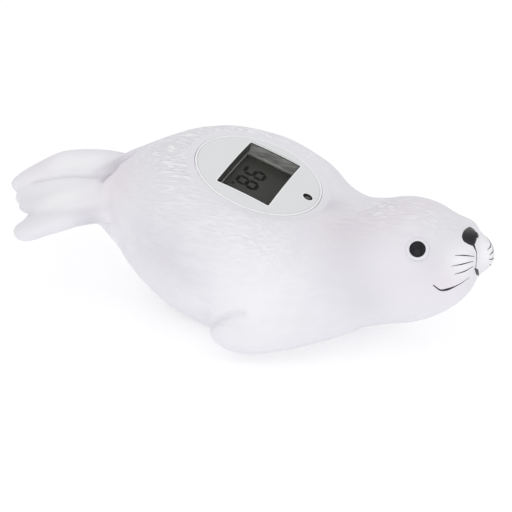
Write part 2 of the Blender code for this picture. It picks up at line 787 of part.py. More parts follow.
def make_display():
    """Lens, display panel, its holder and the two contact strips."""
    lens = (WINDOW_WIDTH - 2 * FIT, WINDOW_LENGTH - 2 * FIT, LENS_THICKNESS)
    block("display_lens", lens, -LENS_SINK, WINDOW_CORNER, CLEAR)
    width = WINDOW_WIDTH - 2 * WINDOW_LEDGE - 2 * FIT
    length = WINDOW_LENGTH - 2 * WINDOW_LEDGE - 2 * FIT
    block("lcd_panel", (width, length, LCD_THICKNESS), -LCD_DEPTH, material=LCD_GREY)
    size = (width, length, HOLDER_THICKNESS)
    holder = block("lcd_holder", size, -HOLDER_TOP, material=WHITE_ABS)

    slot_width = ZEBRA_WIDTH + 2 * FIT
    slot_x = width / 2 - HOLDER_WALL - slot_width / 2
    slot_length = length - 2 * HOLDER_WALL
    slot_height = HOLDER_THICKNESS + 2 * NEAR
    slot_top = -HOLDER_TOP + NEAR
    strip = (ZEBRA_WIDTH, slot_length - 2 * FIT, HOLDER_THICKNESS)
    for name, place in (("front", (slot_x, 0.0)), ("rear", (-slot_x, 0.0))):
        slot = (slot_width, slot_length, slot_height)
        cut(holder, tool_block(f"zebra_slot_{name}", slot, slot_top, place=place))
        block(f"zebra_strip_{name}", strip, -HOLDER_TOP, material=RUBBER, place=place)
    middle = (2 * (slot_x - slot_width / 2 - HOLDER_WALL), slot_length, slot_height)
    cut(holder, tool_block("holder_middle", middle, slot_top))


def make_board():
    """The round circuit board and its two screws."""
    profile = disc_profile(BOARD_RADIUS, -BOARD_TOP, -BOARD_BOTTOM)
    board = turned("circuit_board", profile, BOARD_GREEN, steps=32)
    notch = SCREW_SHANK_RADIUS + POST_WALL + 2 * FIT
    for number, place in boss_places():
        cut(board, tool_rod(f"board_notch_{number}", notch, 0.0, -BOARD_BOTTOM - NEAR, place))
    hole = BOARD_SCREW_SHANK + FIT
    for name, place in board_screw_places():
        cut(board, tool_rod(f"board_hole_{name}", hole, 0.0, -BOARD_BOTTOM - NEAR, place))
        screw = Screw(BOARD_SCREW_HEAD, BOARD_SCREW_HEAD_HEIGHT, BOARD_SCREW_SHANK, BOARD_SCREW_LENGTH)
        make_screw(f"board_screw_{name}", screw, place, BOARD_BOTTOM + FIT)


def make_components():
    """Chip and crystal under the board, and the alarm lamp on top of it."""
    top = -BOARD_BOTTOM - FIT
    profile = [
        (0.0, top),
        (CHIP_RADIUS, top),
        (CHIP_RADIUS * 0.9, top - CHIP_HEIGHT * 0.5),
        (CHIP_RADIUS * 0.55, top - CHIP_HEIGHT * 0.9),
        (0.0, top - CHIP_HEIGHT),
    ]
    turned("chip_blob", profile, EPOXY, steps=16)
    profile = disc_profile(CRYSTAL_RADIUS, CRYSTAL_LENGTH / 2, -CRYSTAL_LENGTH / 2)
    crystal = turned("crystal_can", profile, STEEL, steps=14)
    crystal.rotation_euler = (math.pi / 2, 0.0, 0.0)
    crystal.location = (CRYSTAL_X, CRYSTAL_Y, top - CRYSTAL_RADIUS)

    led_top = -dome_depth(LED_REACH) - LED_SINK
    led_foot = -BOARD_TOP + FIT
    angles = [math.pi / 2 * i / 4 for i in range(5)]
    dome = [(LED_RADIUS * math.sin(a), led_top - LED_RADIUS * (1 - math.cos(a))) for a in angles]
    led = turned("alarm_led", [*dome, (LED_RADIUS, led_foot), (0.0, led_foot)], RED_LED, steps=16)
    led.location = (LED_REACH, 0.0, 0.0)


@dataclass(frozen=True)
class Screw:
    """Sizes of a pan-head screw."""

    head_radius: float
    head_height: float
    shank_radius: float
    length: float


def make_screw(name, screw, place, depth):
    """A screw that points up the module's axis, its head's seat at a depth."""
    profile = [
        (0.0, screw.length - depth),
        (screw.shank_radius, screw.length - depth),
        (screw.shank_radius, -depth),
        (screw.head_radius, -depth),
        (screw.head_radius, -depth - screw.head_height * 0.6),
        (screw.head_radius * 0.6, -depth - screw.head_height),
        (0.0, -depth - screw.head_height),
    ]
    made = turned(name, profile, STEEL, steps=12)
    made.location = (*place, 0.0)


def make_cup():
    """The housing cup: shell, battery bay, screw tubes and sensor hole."""
    shoulder = CUP_RADIUS + CUP_SHOULDER
    shoulder_foot = -CUP_TOP - SHOULDER_HEIGHT
    profile = [
        (0.0, -CUP_TOP),
        (shoulder, -CUP_TOP),
        (shoulder, shoulder_foot),
        (CUP_RADIUS, shoulder_foot - CUP_SHOULDER),
        (CUP_RADIUS, -SHOULDER_FOOT + TURRET_CONE),
        (TURRET_RADIUS + TURRET_STEP, -SHOULDER_FOOT),
        (TURRET_RADIUS, -SHOULDER_FOOT),
        (TURRET_RADIUS, -TURRET_LIP),
        (BEAD_OUTER, -TURRET_LIP - FIT),
        (BEAD_OUTER, -MODULE_DEPTH),
        (0.0, -MODULE_DEPTH),
    ]
    cup = turned("module_cup", profile, WHITE_ABS, steps=44)
    cut(cup, tool_rod("cup_inside", CUP_INNER_RADIUS, 0.0, -CUP_FLOOR, steps=44))
    rebate = CUP_INNER_RADIUS + SEAL_WIDTH + 2 * FIT
    cut(cup, tool_rod("seal_rebate", rebate, 0.0, -CUP_TOP - SEAL_HEIGHT - FIT, steps=44))
    shank_hole = SCREW_SHANK_RADIUS + FIT
    bore_foot = -SHOULDER_FOOT - NEAR / 2
    for number, place in boss_places():
        tube_radius = BOSS_BORE + BOSS_WALL
        join(cup, tool_rod(f"cup_tube_{number}", tube_radius, -BOSS_START, -CUP_FLOOR - NEAR, place))
        cut(cup, tool_rod(f"tube_bore_{number}", BOSS_BORE, -BOSS_SEAT, bore_foot, place))
        cut(cup, tool_rod(f"tube_hole_{number}", shank_hole, 0.0, -BOSS_SEAT - NEAR, place, 12))

    foot = -MODULE_DEPTH
    past = foot - NEAR
    cut(cup, stadium("bay", BAY_HALF_LENGTH, BAY_HALF_WIDTH, -BAY_TOP, past, cutter=True))
    recess = (DOOR_HALF_LENGTH + FIT, DOOR_HALF_WIDTH + FIT)
    cut(cup, stadium("door_recess", *recess, -DOOR_RECESS, past, cutter=True))
    lug = (DOOR_LUG_X, 0.0)
    lug_top = foot + DOOR_THICKNESS + FIT
    cut(cup, tool_rod("lug_recess", DOOR_LUG_RADIUS + FIT, lug_top, past, lug, 20))
    pilot_top = foot + DOOR_SCREW_SINK + DOOR_SCREW_LENGTH + FIT
    cut(cup, tool_rod("door_pilot", shank_hole, pilot_top, foot, lug))
    sensor = (SENSOR_X, 0.0)
    cut(cup, tool_rod("sensor_hole", SENSOR_RADIUS + FIT, -CUP_FLOOR + NEAR, past, sensor, 20))
    pin_hole = CONTACT_PIN_RADIUS + FIT
    for name, y in (("left", CELL_Y), ("right", -CELL_Y)):
        cut(cup, tool_rod(f"pin_hole_{name}", pin_hole, -CUP_FLOOR + NEAR, -BAY_TOP - NEAR, (0.0, y), 12))


def make_housing_fasteners():
    """The seal on the cup's rim, and the three screws that close it."""
    inner = CUP_INNER_RADIUS + FIT / 2
    profile = ring_profile(inner + SEAL_WIDTH, inner, -CUP_TOP, -CUP_TOP - SEAL_HEIGHT)
    turned("housing_seal", profile, RUBBER, steps=32, closed=True)
    screw = Screw(SCREW_HEAD_RADIUS, SCREW_HEAD_HEIGHT, SCREW_SHANK_RADIUS, SCREW_LENGTH)
    for number, place in boss_places():
        make_screw(f"housing_screw_{number}", screw, place, BOSS_SEAT + FIT)


def make_cells():
    """Two button cells, a spring plate over each and one link below both."""
    cell_top = -CELL_FOOT + CELL_HEIGHT
    edge = CELL_RADIUS * 0.08
    cell_profile = [
        (0.0, cell_top),
        (CELL_RADIUS - edge, cell_top),
        (CELL_RADIUS, cell_top - edge),
        (CELL_RADIUS, -CELL_FOOT),
        (0.0, -CELL_FOOT),
    ]
    plate_foot = cell_top + FIT
    plate_top = plate_foot + CONTACT_THICKNESS
    pin_top = -CUP_FLOOR + CONTACT_PIN_REACH
    plate_profile = [
        (0.0, pin_top),
        (CONTACT_PIN_RADIUS, pin_top),
        (CONTACT_PIN_RADIUS, plate_top),
        (CONTACT_RADIUS, plate_top),
        (CONTACT_RADIUS, plate_foot),
        (0.0, plate_foot),
    ]
    for name, y in (("left", CELL_Y), ("right", -CELL_Y)):
        cell = turned(f"button_cell_{name}", cell_profile, STEEL, steps=24)
        cell.location = (0.0, y, 0.0)
        plate = turned(f"cell_contact_{name}", plate_profile, BRASS, steps=16)
        plate.location = (0.0, y, 0.0)

    link_top = -CELL_FOOT - FIT
    half_length = CELL_Y + CONTACT_RADIUS * 0.8
    stadium("link_contact", half_length, CONTACT_RADIUS, link_top, link_top - CONTACT_THICKNESS, BRASS)


def make_door():
    """The battery door with its lug, seal and screw."""
    seal_top = -DOOR_RECESS - FIT
    seal_foot = seal_top - DOOR_SEAL_HEIGHT
    length = BAY_HALF_LENGTH + FIT
    width = BAY_HALF_WIDTH + FIT
    outer = (length + DOOR_SEAL_WIDTH, width + DOOR_SEAL_WIDTH)
    seal = stadium("door_seal", *outer, seal_top, seal_foot, RUBBER)
    cut(seal, stadium("seal_inside", length, width, seal_top + NEAR, seal_foot - NEAR, cutter=True))

    foot = -MODULE_DEPTH
    top = foot + DOOR_THICKNESS
    past = foot - NEAR
    lug = (DOOR_LUG_X, 0.0)
    lug_span = (top - DOOR_LUG_STEP, foot + DOOR_LUG_STEP)
    door = stadium("battery_door", DOOR_HALF_LENGTH, DOOR_HALF_WIDTH, top, foot, WHITE_ABS)
    join(door, tool_rod("door_lug", DOOR_LUG_RADIUS, *lug_span, lug, 20))
    cut(door, tool_rod("screw_sink", SCREW_HEAD_RADIUS + FIT, foot + DOOR_SCREW_SINK, past, lug, 20))
    cut(door, tool_rod("door_hole", SCREW_SHANK_RADIUS + FIT, top + NEAR, past, lug))
    screw = Screw(SCREW_HEAD_RADIUS, DOOR_SCREW_SINK - FIT, SCREW_SHANK_RADIUS, DOOR_SCREW_LENGTH)
    make_screw("door_screw", screw, lug, MODULE_DEPTH - DOOR_SCREW_SINK + FIT)


def cap_tip(radius, foot):
    """Profile of a shallow round end, from its side in to its middle."""
    angles = [math.pi / 2 * i / 4 for i in range(4)]
    height = radius * SENSOR_TIP
    return [*[(radius * math.cos(a), foot + height * (1 - math.sin(a))) for a in angles], (0.0, foot)]


def make_sensor():
    """The steel sensor cap through the cup's foot, and the bead inside it."""
    foot = -MODULE_DEPTH - SENSOR_PROUD
    flange_foot = -CUP_FLOOR + FIT
    flange_top = flange_foot + SENSOR_FLANGE_HEIGHT
    flange = SENSOR_RADIUS + SENSOR_FLANGE
    outside = [
        (0.0, flange_top),
        (flange, flange_top),
        (flange, flange_foot),
        (SENSOR_RADIUS, flange_foot),
        *cap_tip(SENSOR_RADIUS, foot),
    ]
    bore = SENSOR_RADIUS - SENSOR_WALL
    past = flange_top + NEAR
    inside = [(0.0, past), (bore, past), *cap_tip(bore, foot + SENSOR_WALL)]
    cap = turned("sensor_cap", outside, STEEL, steps=20)
    bored = turned("cap_bore", inside, steps=16, cutter=True)
    for obj in (cap, bored):
        obj.location = (SENSOR_X, 0.0, 0.0)
    cut(cap, bored)

    bead_z = foot + SENSOR_WALL + FIT + BEAD_RADIUS
    bm = bmesh.new()
    matrix = Matrix.Translation((SENSOR_X, 0.0, bead_z))
    bmesh.ops.create_uvsphere(bm, u_segments=10, v_segments=7, radius=BEAD_RADIUS, matrix=matrix)
    from_bmesh("thermistor", bm, EPOXY)
    return bead_z + BEAD_RADIUS + FIT


def make_lead(name, route, material):
    """A wire of the module, on a smooth curve through its route."""
    curve = bpy.data.curves.new(name, "CURVE")
    curve.dimensions = "3D"
    curve.bevel_depth = LEAD_RADIUS
    curve.bevel_resolution = 1
    curve.use_fill_caps = True
    spline = curve.splines.new("POLY")
    places = [Vector(place) for place in route]
    count = 3 * (len(places) - 1)
    spline.points.add(count)
    for i, point in enumerate(spline.points):
        point.co = (*through(places, (len(places) - 1) * i / count), 1.0)
    finish(bpy.data.objects.new(name, curve), material, MODULE, False)


def make_leads(bead_top):
    """A wire from each cell contact and one from the sensor, to the board."""
    board_foot = -BOARD_BOTTOM - FIT
    pin_top = -CUP_FLOOR + CONTACT_PIN_REACH + FIT
    middle = (board_foot + pin_top) / 2
    for name, side, material in (("left", 1, RED_WIRE), ("right", -1, BLACK_WIRE)):
        start = side * CELL_Y
        end = side * (CELL_Y + LEAD_SPREAD)
        route = [
            (0.0, start, pin_top),
            (0.0, start, pin_top + LEAD_RISE),
            (-LEAD_BOW, (start + end) / 2, middle),
            (-LEAD_BOW / 2, end, board_foot - LEAD_RISE),
            (-LEAD_BOW / 2, end, board_foot),
        ]
        make_lead(f"battery_lead_{name}", route, material)
    route = [
        (SENSOR_X, 0.0, bead_top),
        (SENSOR_X, 0.0, -CUP_FLOOR + LEAD_RISE),
        (SENSOR_X - LEAD_BOW / 2, LEAD_SPREAD / 2, middle),
        (SENSOR_X - LEAD_BOW, LEAD_SPREAD, board_foot - LEAD_RISE),
        (SENSOR_X - LEAD_BOW, LEAD_SPREAD, board_foot),
    ]
    make_lead("sensor_lead", route, BLACK_WIRE)


def centre_on_floor(body):
    """Move the pup so that the origin lies under the middle of its length."""
    bpy.context.view_layer.update()
    seen = body.evaluated_get(bpy.context.evaluated_depsgraph_get())
    corners = [seen.matrix_world @ Vector(corner) for corner in seen.bound_box]
    lengths = [corner.x for corner in corners]
    widths = [corner.y for corner in corners]
    PUP.location.x = -(min(lengths) + max(lengths)) / 2
    PUP.location.y = -(min(widths) + max(widths)) / 2


def main():
    """Build the thermometer."""
    body = make_seal_body()
    make_eyes()
    make_top_cover()
    make_display()
    make_board()
    make_components()
    make_cup()
    make_housing_fasteners()
    make_cells()
    make_door()
    make_leads(make_sensor())
    centre_on_floor(body)


main()
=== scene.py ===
"""Baby bath thermometer: a white seal pup with a round display module in its back.

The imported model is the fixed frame. This script dresses it: the vinyl skin gets
its fine surface, the face its nose, lines and eyes, and the module its cover,
window, digits and lamp. The pieces' fields are in millimetres and degrees, and
MM turns them into the scene's metres. The camera's and the lamps' are in metres.
"""

import logging
import math
from collections.abc import Iterable, Sequence
from dataclasses import dataclass, field
from enum import Enum
from typing import ClassVar, Protocol

import bmesh
import bpy
import numpy as np
from mathutils import Matrix, Vector, noise
from mathutils.bvhtree import BVHTree


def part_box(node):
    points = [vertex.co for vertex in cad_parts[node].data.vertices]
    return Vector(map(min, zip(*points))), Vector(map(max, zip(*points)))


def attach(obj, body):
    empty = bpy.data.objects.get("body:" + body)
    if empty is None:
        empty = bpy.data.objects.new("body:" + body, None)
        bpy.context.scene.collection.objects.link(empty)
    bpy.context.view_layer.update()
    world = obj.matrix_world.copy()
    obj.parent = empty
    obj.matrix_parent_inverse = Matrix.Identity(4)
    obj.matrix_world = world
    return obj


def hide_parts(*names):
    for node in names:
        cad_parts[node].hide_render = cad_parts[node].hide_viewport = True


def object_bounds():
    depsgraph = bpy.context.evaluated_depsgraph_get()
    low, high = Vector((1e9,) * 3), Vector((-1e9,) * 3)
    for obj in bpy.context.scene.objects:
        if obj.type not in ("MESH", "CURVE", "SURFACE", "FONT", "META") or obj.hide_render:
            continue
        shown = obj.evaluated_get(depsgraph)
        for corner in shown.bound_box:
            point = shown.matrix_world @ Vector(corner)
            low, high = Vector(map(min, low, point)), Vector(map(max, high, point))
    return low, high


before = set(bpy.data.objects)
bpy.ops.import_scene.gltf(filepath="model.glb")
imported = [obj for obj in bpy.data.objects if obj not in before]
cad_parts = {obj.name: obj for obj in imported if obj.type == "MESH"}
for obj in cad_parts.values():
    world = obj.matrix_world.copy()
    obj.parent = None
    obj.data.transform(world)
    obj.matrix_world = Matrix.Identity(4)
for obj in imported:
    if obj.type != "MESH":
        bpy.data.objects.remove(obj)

CAD_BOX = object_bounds()
MM = 0.001
LOG = logging.getLogger("bath_thermometer")

Colour = tuple[float, float, float]
Pixel = tuple[float, float]
Flat = tuple[float, float]
Triple = tuple[float, float, float]
Section = tuple[float, float, bool]
Socket = bpy.types.NodeSocket


class Slot(Enum):
    """Names of the record's material slots; the new pieces' finishes are made here, not taken from
    them.
    """

    VINYL = "white_vinyl"
    GLOSS_BLACK = "gloss_black"
    ABS = "white_abs"
    ACRYLIC = "clear_acrylic"
    DISPLAY = "lcd_grey"
    LAMP = "led_red"


class Side(Enum):
    """The pup's own left and right."""

    LEFT = 1
    RIGHT = -1


class Finish(Protocol):
    """A finish of the pup's, which can give its material."""

    def material(self) -> bpy.types.Material:
        """The material, made once and shared after that."""


# Making meshes


def arc(centre: Flat, radius: float, start: float, end: float, steps: int) -> list[Flat]:
    """Points of an arc in a profile's plane.

    Args:
        centre: Middle of the arc, as distance from the axis and height.
        radius: Radius of the arc.
        start: First angle in degrees, from the outward direction.
        end: Last angle in degrees.
        steps: Number of pieces that the arc is cut into.

    Returns:
        The points from start to end.
    """
    angles = [math.radians(start + (end - start) * i / steps) for i in range(steps + 1)]
    return [(centre[0] + radius * math.cos(a), centre[1] + radius * math.sin(a)) for a in angles]


def spun(profile: Sequence[Flat], steps: int, closed: bool = False) -> bmesh.types.BMesh:
    """A profile turned round the Z axis into a closed solid.

    Args:
        profile: Points as distance from the axis and height.
        steps: Number of steps round the axis.
        closed: True where the last point joins the first, as in a ring.

    Returns:
        The new mesh, with its faces pointing out.
    """
    bm = bmesh.new()
    verts = [bm.verts.new((radius, 0.0, height)) for radius, height in profile]
    edges = [bm.edges.new(pair) for pair in zip(verts, verts[1:])]
    if closed:
        edges.append(bm.edges.new((verts[-1], verts[0])))
    bmesh.ops.spin(
        bm,
        geom=[*verts, *edges],
        cent=(0.0, 0.0, 0.0),
        axis=(0.0, 0.0, 1.0),
        angle=math.tau,
        steps=steps,
        use_merge=True,
    )
    bmesh.ops.remove_doubles(bm, verts=bm.verts, dist=1e-4)
    bmesh.ops.recalc_face_normals(bm, faces=bm.faces)
    return bm


def rounded_outline(length: float, width: float, corner: float, per_corner: int = 5) -> list[Flat]:
    """The outline of a rectangle with rounded corners, round its middle.

    Args:
        length: Size along X.
        width: Size along Y.
        corner: Radius of the corners.
        per_corner: Number of pieces in each corner.

    Returns:
        The points in order, anticlockwise.
    """
    points: list[Flat] = []
    for turn, (sx, sy) in enumerate(((1, 1), (-1, 1), (-1, -1), (1, -1))):
        centre = (sx * (length / 2 - corner), sy * (width / 2 - corner))
        points += arc(centre, corner, 90.0 * turn, 90.0 * (turn + 1), per_corner)
    return points


def divided(outline: Sequence[Flat], longest: float) -> list[Flat]:
    """The same closed outline with its long sides cut into short pieces.

    Args:
        outline: The corners in order.
        longest: Longest piece that is left.

    Returns:
        The corners and the new points, in order.
    """
    points: list[Flat] = []
    for start, end in zip(outline, [*outline[1:], outline[0]]):
        count = max(1, math.ceil(math.dist(start, end) / longest))
        points += [
            (start[0] + (end[0] - start[0]) * i / count, start[1] + (end[1] - start[1]) * i / count)
            for i in range(count)
        ]
    return points


def bridged(loops: Sequence[Sequence[Vector]], closed: bool = True) -> bmesh.types.BMesh:
    """A skin through loops of points that have the same number of points.

    Args:
        loops: The loops in order.
        closed: True where the last loop joins the first, and False where
            both ends get a flat face.

    Returns:
        The new mesh, with its faces pointing out.
    """
    bm = bmesh.new()
    rings = []
    for loop in loops:
        verts = [bm.verts.new(point) for point in loop]
        rings.append([bm.edges.new(pair) for pair in zip(verts, [*verts[1:], verts[0]])])
    for first, second in zip(rings, rings[1:]):
        bmesh.ops.bridge_loops(bm, edges=[*first, *second])
    if closed:
        bmesh.ops.bridge_loops(bm, edges=[*rings[-1], *rings[0]])
    else:
        bmesh.ops.holes_fill(bm, edges=[*rings[0], *rings[-1]], sides=0)
    bmesh.ops.recalc_face_normals(bm, faces=bm.faces)
    return bm


def plain(name: str, bm: bmesh.types.BMesh) -> bpy.types.Object:
    """A plain object from a mesh, in place, which is freed.

    Args:
        name: Name of the object.
        bm: Its mesh.

    Returns:
        The new object.
    """
    mesh = bpy.data.meshes.new(name)
    bm.to_mesh(mesh)
    bm.free()
    made = bpy.data.objects.new(name, mesh)
    bpy.context.scene.collection.objects.link(made)
    return made


def merged_copy(node: str, name: str) -> bpy.types.Object:
    """A new object with a CAD node's mesh, its loose triangles joined up.

    Args:
        node: Name of the CAD node.
        name: Name of the new object.

    Returns:
        The new object.
    """
    bm = bmesh.new()
    bm.from_mesh(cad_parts[node].data)
    bmesh.ops.remove_doubles(bm, verts=bm.verts, dist=1e-6)
    return plain(name, bm)


def dressed(
    made: bpy.types.Object,
    finish: Finish,
    replaces: Iterable[str] = (),
    sharp_above: float = 40.0,
) -> None:
    """Gives a piece its finish, its body and the nodes it stands for.

    Args:
        made: The piece's object.
        finish: Its finish.
        replaces: CAD nodes that the piece stands for.
        sharp_above: Angle in degrees above which an edge stays crisp.
    """
    made.data.materials.clear()
    made.data.materials.append(finish.material())
    made.data.shade_smooth()
    made.data.set_sharp_from_angle(angle=math.radians(sharp_above))
    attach(made, "root")
    if replaces:
        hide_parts(*replaces)
    LOG.info("%s: %d faces", made.name, len(made.data.polygons))


def piece(
    name: str,
    bm: bmesh.types.BMesh,
    finish: Finish,
    replaces: Iterable[str] = (),
    sharp_above: float = 40.0,
) -> None:
    """Makes a finished piece that rides on the pup.

    Args:
        name: Name of the piece.
        bm: Its mesh, in place, which is freed.
        finish: Its finish.
        replaces: CAD nodes that the piece stands for.
        sharp_above: Angle in degrees above which an edge stays crisp.
    """
    dressed(plain(name, bm), finish, replaces, sharp_above)


def settled(made: bpy.types.Object) -> None:
    """Applies an object's modifiers to its mesh.

    Args:
        made: The object.
    """
    graph = bpy.context.evaluated_depsgraph_get()
    mesh = bpy.data.meshes.new_from_object(made.evaluated_get(graph))
    made.modifiers.clear()
    made.data = mesh


def cut(made: bpy.types.Object, *cutters: bpy.types.Object) -> None:
    """Takes the forms of other objects out of one, and removes them.

    Args:
        made: The object that is cut.
        cutters: The closed objects that cut it.
    """
    for cutter in cutters:
        modifier = made.modifiers.new(cutter.name, "BOOLEAN")
        modifier.operation = "DIFFERENCE"
        modifier.solver = "EXACT"
        modifier.object = cutter
    settled(made)
    for cutter in cutters:
        bpy.data.objects.remove(cutter)


def remeshed(made: bpy.types.Object, voxel: float) -> None:
    """Rebuilds an object's closed surface from small even faces.

    Args:
        made: The object.
        voxel: Size of the new faces, in metres.
    """
    modifier = made.modifiers.new("even_faces", "REMESH")
    modifier.mode = "VOXEL"
    modifier.voxel_size = voxel
    settled(made)


def turned_axis(node: str) -> tuple[Vector, Vector]:
    """Centre and axis of a round CAD node.

    Args:
        node: Name of a node that was turned round one axis.

    Returns:
        The middle of its points, and a unit vector along its axis.
    """
    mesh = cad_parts[node].data
    points = np.array([tuple(v.co) for v in mesh.vertices])
    points = np.unique(points.round(7), axis=0)
    middle = points.mean(axis=0)
    values, vectors = np.linalg.eigh(np.cov((points - middle).T))
    odd = 0 if values[1] - values[0] > values[2] - values[1] else 2
    return Vector(middle), Vector(vectors[:, odd]).normalized()


# Finishes


class Nodes:
    """A node tree, with short calls for its nodes and links."""

    def __init__(self, tree: bpy.types.NodeTree) -> None:
        """Takes over a tree, and empties it."""
        self.tree = tree
        self.tree.nodes.clear()

    def add(self, kind: str) -> bpy.types.Node:
        """A new node, by the last part of its type's name."""
        return self.tree.nodes.new(f"ShaderNode{kind}")

    def join(self, source: Socket, target: Socket) -> None:
        """Links two sockets."""
        self.tree.links.new(source, target)

    def maths(self, operation: str, first: Socket, second: Socket) -> Socket:
        """The result of an operation on two values.

        Args:
            operation: Name of the operation.
            first: The first value.
            second: The second value.

        Returns:
            The socket with the result.
        """
        made = self.add("Math")
        made.operation = operation
        self.join(first, made.inputs[0])
        self.join(second, made.inputs[1])
        return made.outputs["Value"]

    def rays(self, *kinds: str) -> Socket:
        """1 for light rays of the given kinds, and 0 for the others.

        Args:
            kinds: Names of the light path's outputs.

        Returns:
            The socket with the 1 or 0.
        """
        path = self.add("LightPath")
        total = path.outputs[kinds[0]]
        for kind in kinds[1:]:
            total = self.maths("MAXIMUM", total, path.outputs[kind])
        return total

    def choice(self, amount: Socket, first: Socket, second: Socket) -> Socket:
        """The first shader where the amount is 0, and the second where it is 1.

        Args:
            amount: The amount.
            first: The first shader.
            second: The second shader.

        Returns:
            The socket with the mix.
        """
        made = self.add("MixShader")
        for source, target in zip((amount, first, second), made.inputs):
            self.join(source, target)
        return made.outputs["Shader"]


class Shader(Nodes):
    """The nodes of one material, round its surface shader."""

    def __init__(
        self, name: str, colour: Colour, roughness: float, metallic: float = 0.0
    ) -> None:
        """Starts a material with one surface shader.

        Args:
            name: Name of the material.
            colour: Base colour of the surface.
            roughness: Roughness of the surface.
            metallic: 1 for bare metal.
        """
        self.material = bpy.data.materials.new(name)
        self.material.use_nodes = True
        super().__init__(self.material.node_tree)
        self.output = self.add("OutputMaterial")
        self.surface = self.add("BsdfPrincipled")
        self.set("Base Color", (*colour, 1.0))
        self.set("Roughness", roughness)
        self.set("Metallic", metallic)
        self.join(self.surface.outputs["BSDF"], self.output.inputs["Surface"])

    def set(self, socket: str, value: float | tuple[float, ...]) -> None:
        """Sets one of the surface shader's own sockets."""
        self.surface.inputs[socket].default_value = value

    def feed(self, source: Socket, socket: str) -> None:
        """Links a socket to one of the surface shader's sockets."""
        self.join(source, self.surface.inputs[socket])

    def noise(self, scale: Triple, detail: float = 2.0) -> Socket:
        """Soft noise over the object, with its size along each axis.

        Args:
            scale: Number of the noise's waves in a metre, along each axis.
            detail: How many finer waves lie on the broad ones.

        Returns:
            The socket with the noise, from 0 to 1.
        """
        where = self.add("TexCoord")
        mapping = self.add("Mapping")
        mapping.inputs["Scale"].default_value = scale
        self.join(where.outputs["Object"], mapping.inputs["Vector"])
        made = self.add("TexNoise")
        made.inputs["Scale"].default_value = 1.0
        made.inputs["Detail"].default_value = detail
        self.join(mapping.outputs["Vector"], made.inputs["Vector"])
        return made.outputs["Fac"]

    def span(self, source: Socket, low: float, high: float, start: float, end: float) -> Socket:
        """Maps a value from one range to another, and keeps it there.

        Args:
            source: The value.
            low: Value that becomes start.
            high: Value that becomes end.
            start: First end of the new range.
            end: Last end of the new range.

        Returns:
            The socket with the mapped value.
        """
        made = self.add("MapRange")
        ends = zip(("From Min", "From Max", "To Min", "To Max"), (low, high, start, end))
        for name, value in ends:
            made.inputs[name].default_value = value
        self.join(source, made.inputs["Value"])
        return made.outputs["Result"]

    def attribute(self, name: str) -> Socket:
        """A value that the piece keeps at its points.

        Args:
            name: Name of the value.

        Returns:
            The socket with the value.
        """
        made = self.add("Attribute")
        made.attribute_name = name
        return made.outputs["Fac"]

    def mixed(self, amount: Socket, first: Socket | Colour, second: Colour) -> Socket:
        """A colour laid over another by a value from 0 to 1.

        Args:
            amount: The value.
            first: The colour below, plain or from a socket.
            second: The colour on top.

        Returns:
            The socket with the mixed colour.
        """
        made = self.add("Mix")
        made.data_type = "RGBA"
        if isinstance(first, tuple):
            made.inputs["A"].default_value = (*first, 1.0)
        else:
            self.join(first, made.inputs["A"])
        made.inputs["B"].default_value = (*second, 1.0)
        self.join(amount, made.inputs["Factor"])
        return made.outputs["Result"]

    def relief(
        self, height: Socket, depth: float, strength: float = 1.0, under: Socket | None = None
    ) -> Socket:
        """A bump from a height.

        Args:
            height: The height, from 0 to 1.
            depth: What a height of 1 stands for, in metres.
            strength: How much of it shows.
            under: The relief that this one lies on.

        Returns:
            The socket with the normal.
        """
        made = self.add("Bump")
        made.inputs["Distance"].default_value = depth
        made.inputs["Strength"].default_value = strength
        self.join(height, made.inputs["Height"])
        if under is not None:
            self.join(under, made.inputs["Normal"])
        return made.outputs["Normal"]


@dataclass(frozen=True)
class PlainFinish:
    """A moulded, cast or rolled surface with fine grain and uneven gloss."""

    name: str
    colour: Colour
    shade: Colour
    roughness: float
    metallic: float = 0.0
    grain: Triple = (900.0, 900.0, 900.0)
    depth: float = 0.02
    gloss_spread: float = 0.06
    coat: float = 0.0
    shine: float = 0.5
    alpha: float = 1.0
    streaked: bool = False
    cloud: Triple = (60.0, 60.0, 60.0)
    coat_roughness: float = 0.08

    def material(self) -> bpy.types.Material:
        """The material, made once and shared after that."""
        known = bpy.data.materials.get(self.name)
        if known is not None:
            return known
        shader = Shader(self.name, self.colour, self.roughness, self.metallic)
        broad = shader.noise(self.cloud, 3.0)
        fine = shader.noise(self.grain)
        uneven = shader.span(fine if self.streaked else broad, 0.35, 0.65, 0.0, 1.0)
        shader.feed(shader.mixed(uneven, self.colour, self.shade), "Base Color")
        low = max(0.02, self.roughness - self.gloss_spread)
        high = self.roughness + self.gloss_spread
        shader.feed(shader.span(fine, 0.3, 0.7, low, high), "Roughness")
        shader.feed(shader.relief(fine, self.depth * MM, 0.5), "Normal")
        shader.set("Specular IOR Level", self.shine)
        shader.set("Coat Weight", self.coat)
        shader.set("Coat Roughness", self.coat_roughness)
        shader.set("Alpha", self.alpha)
        return shader.material


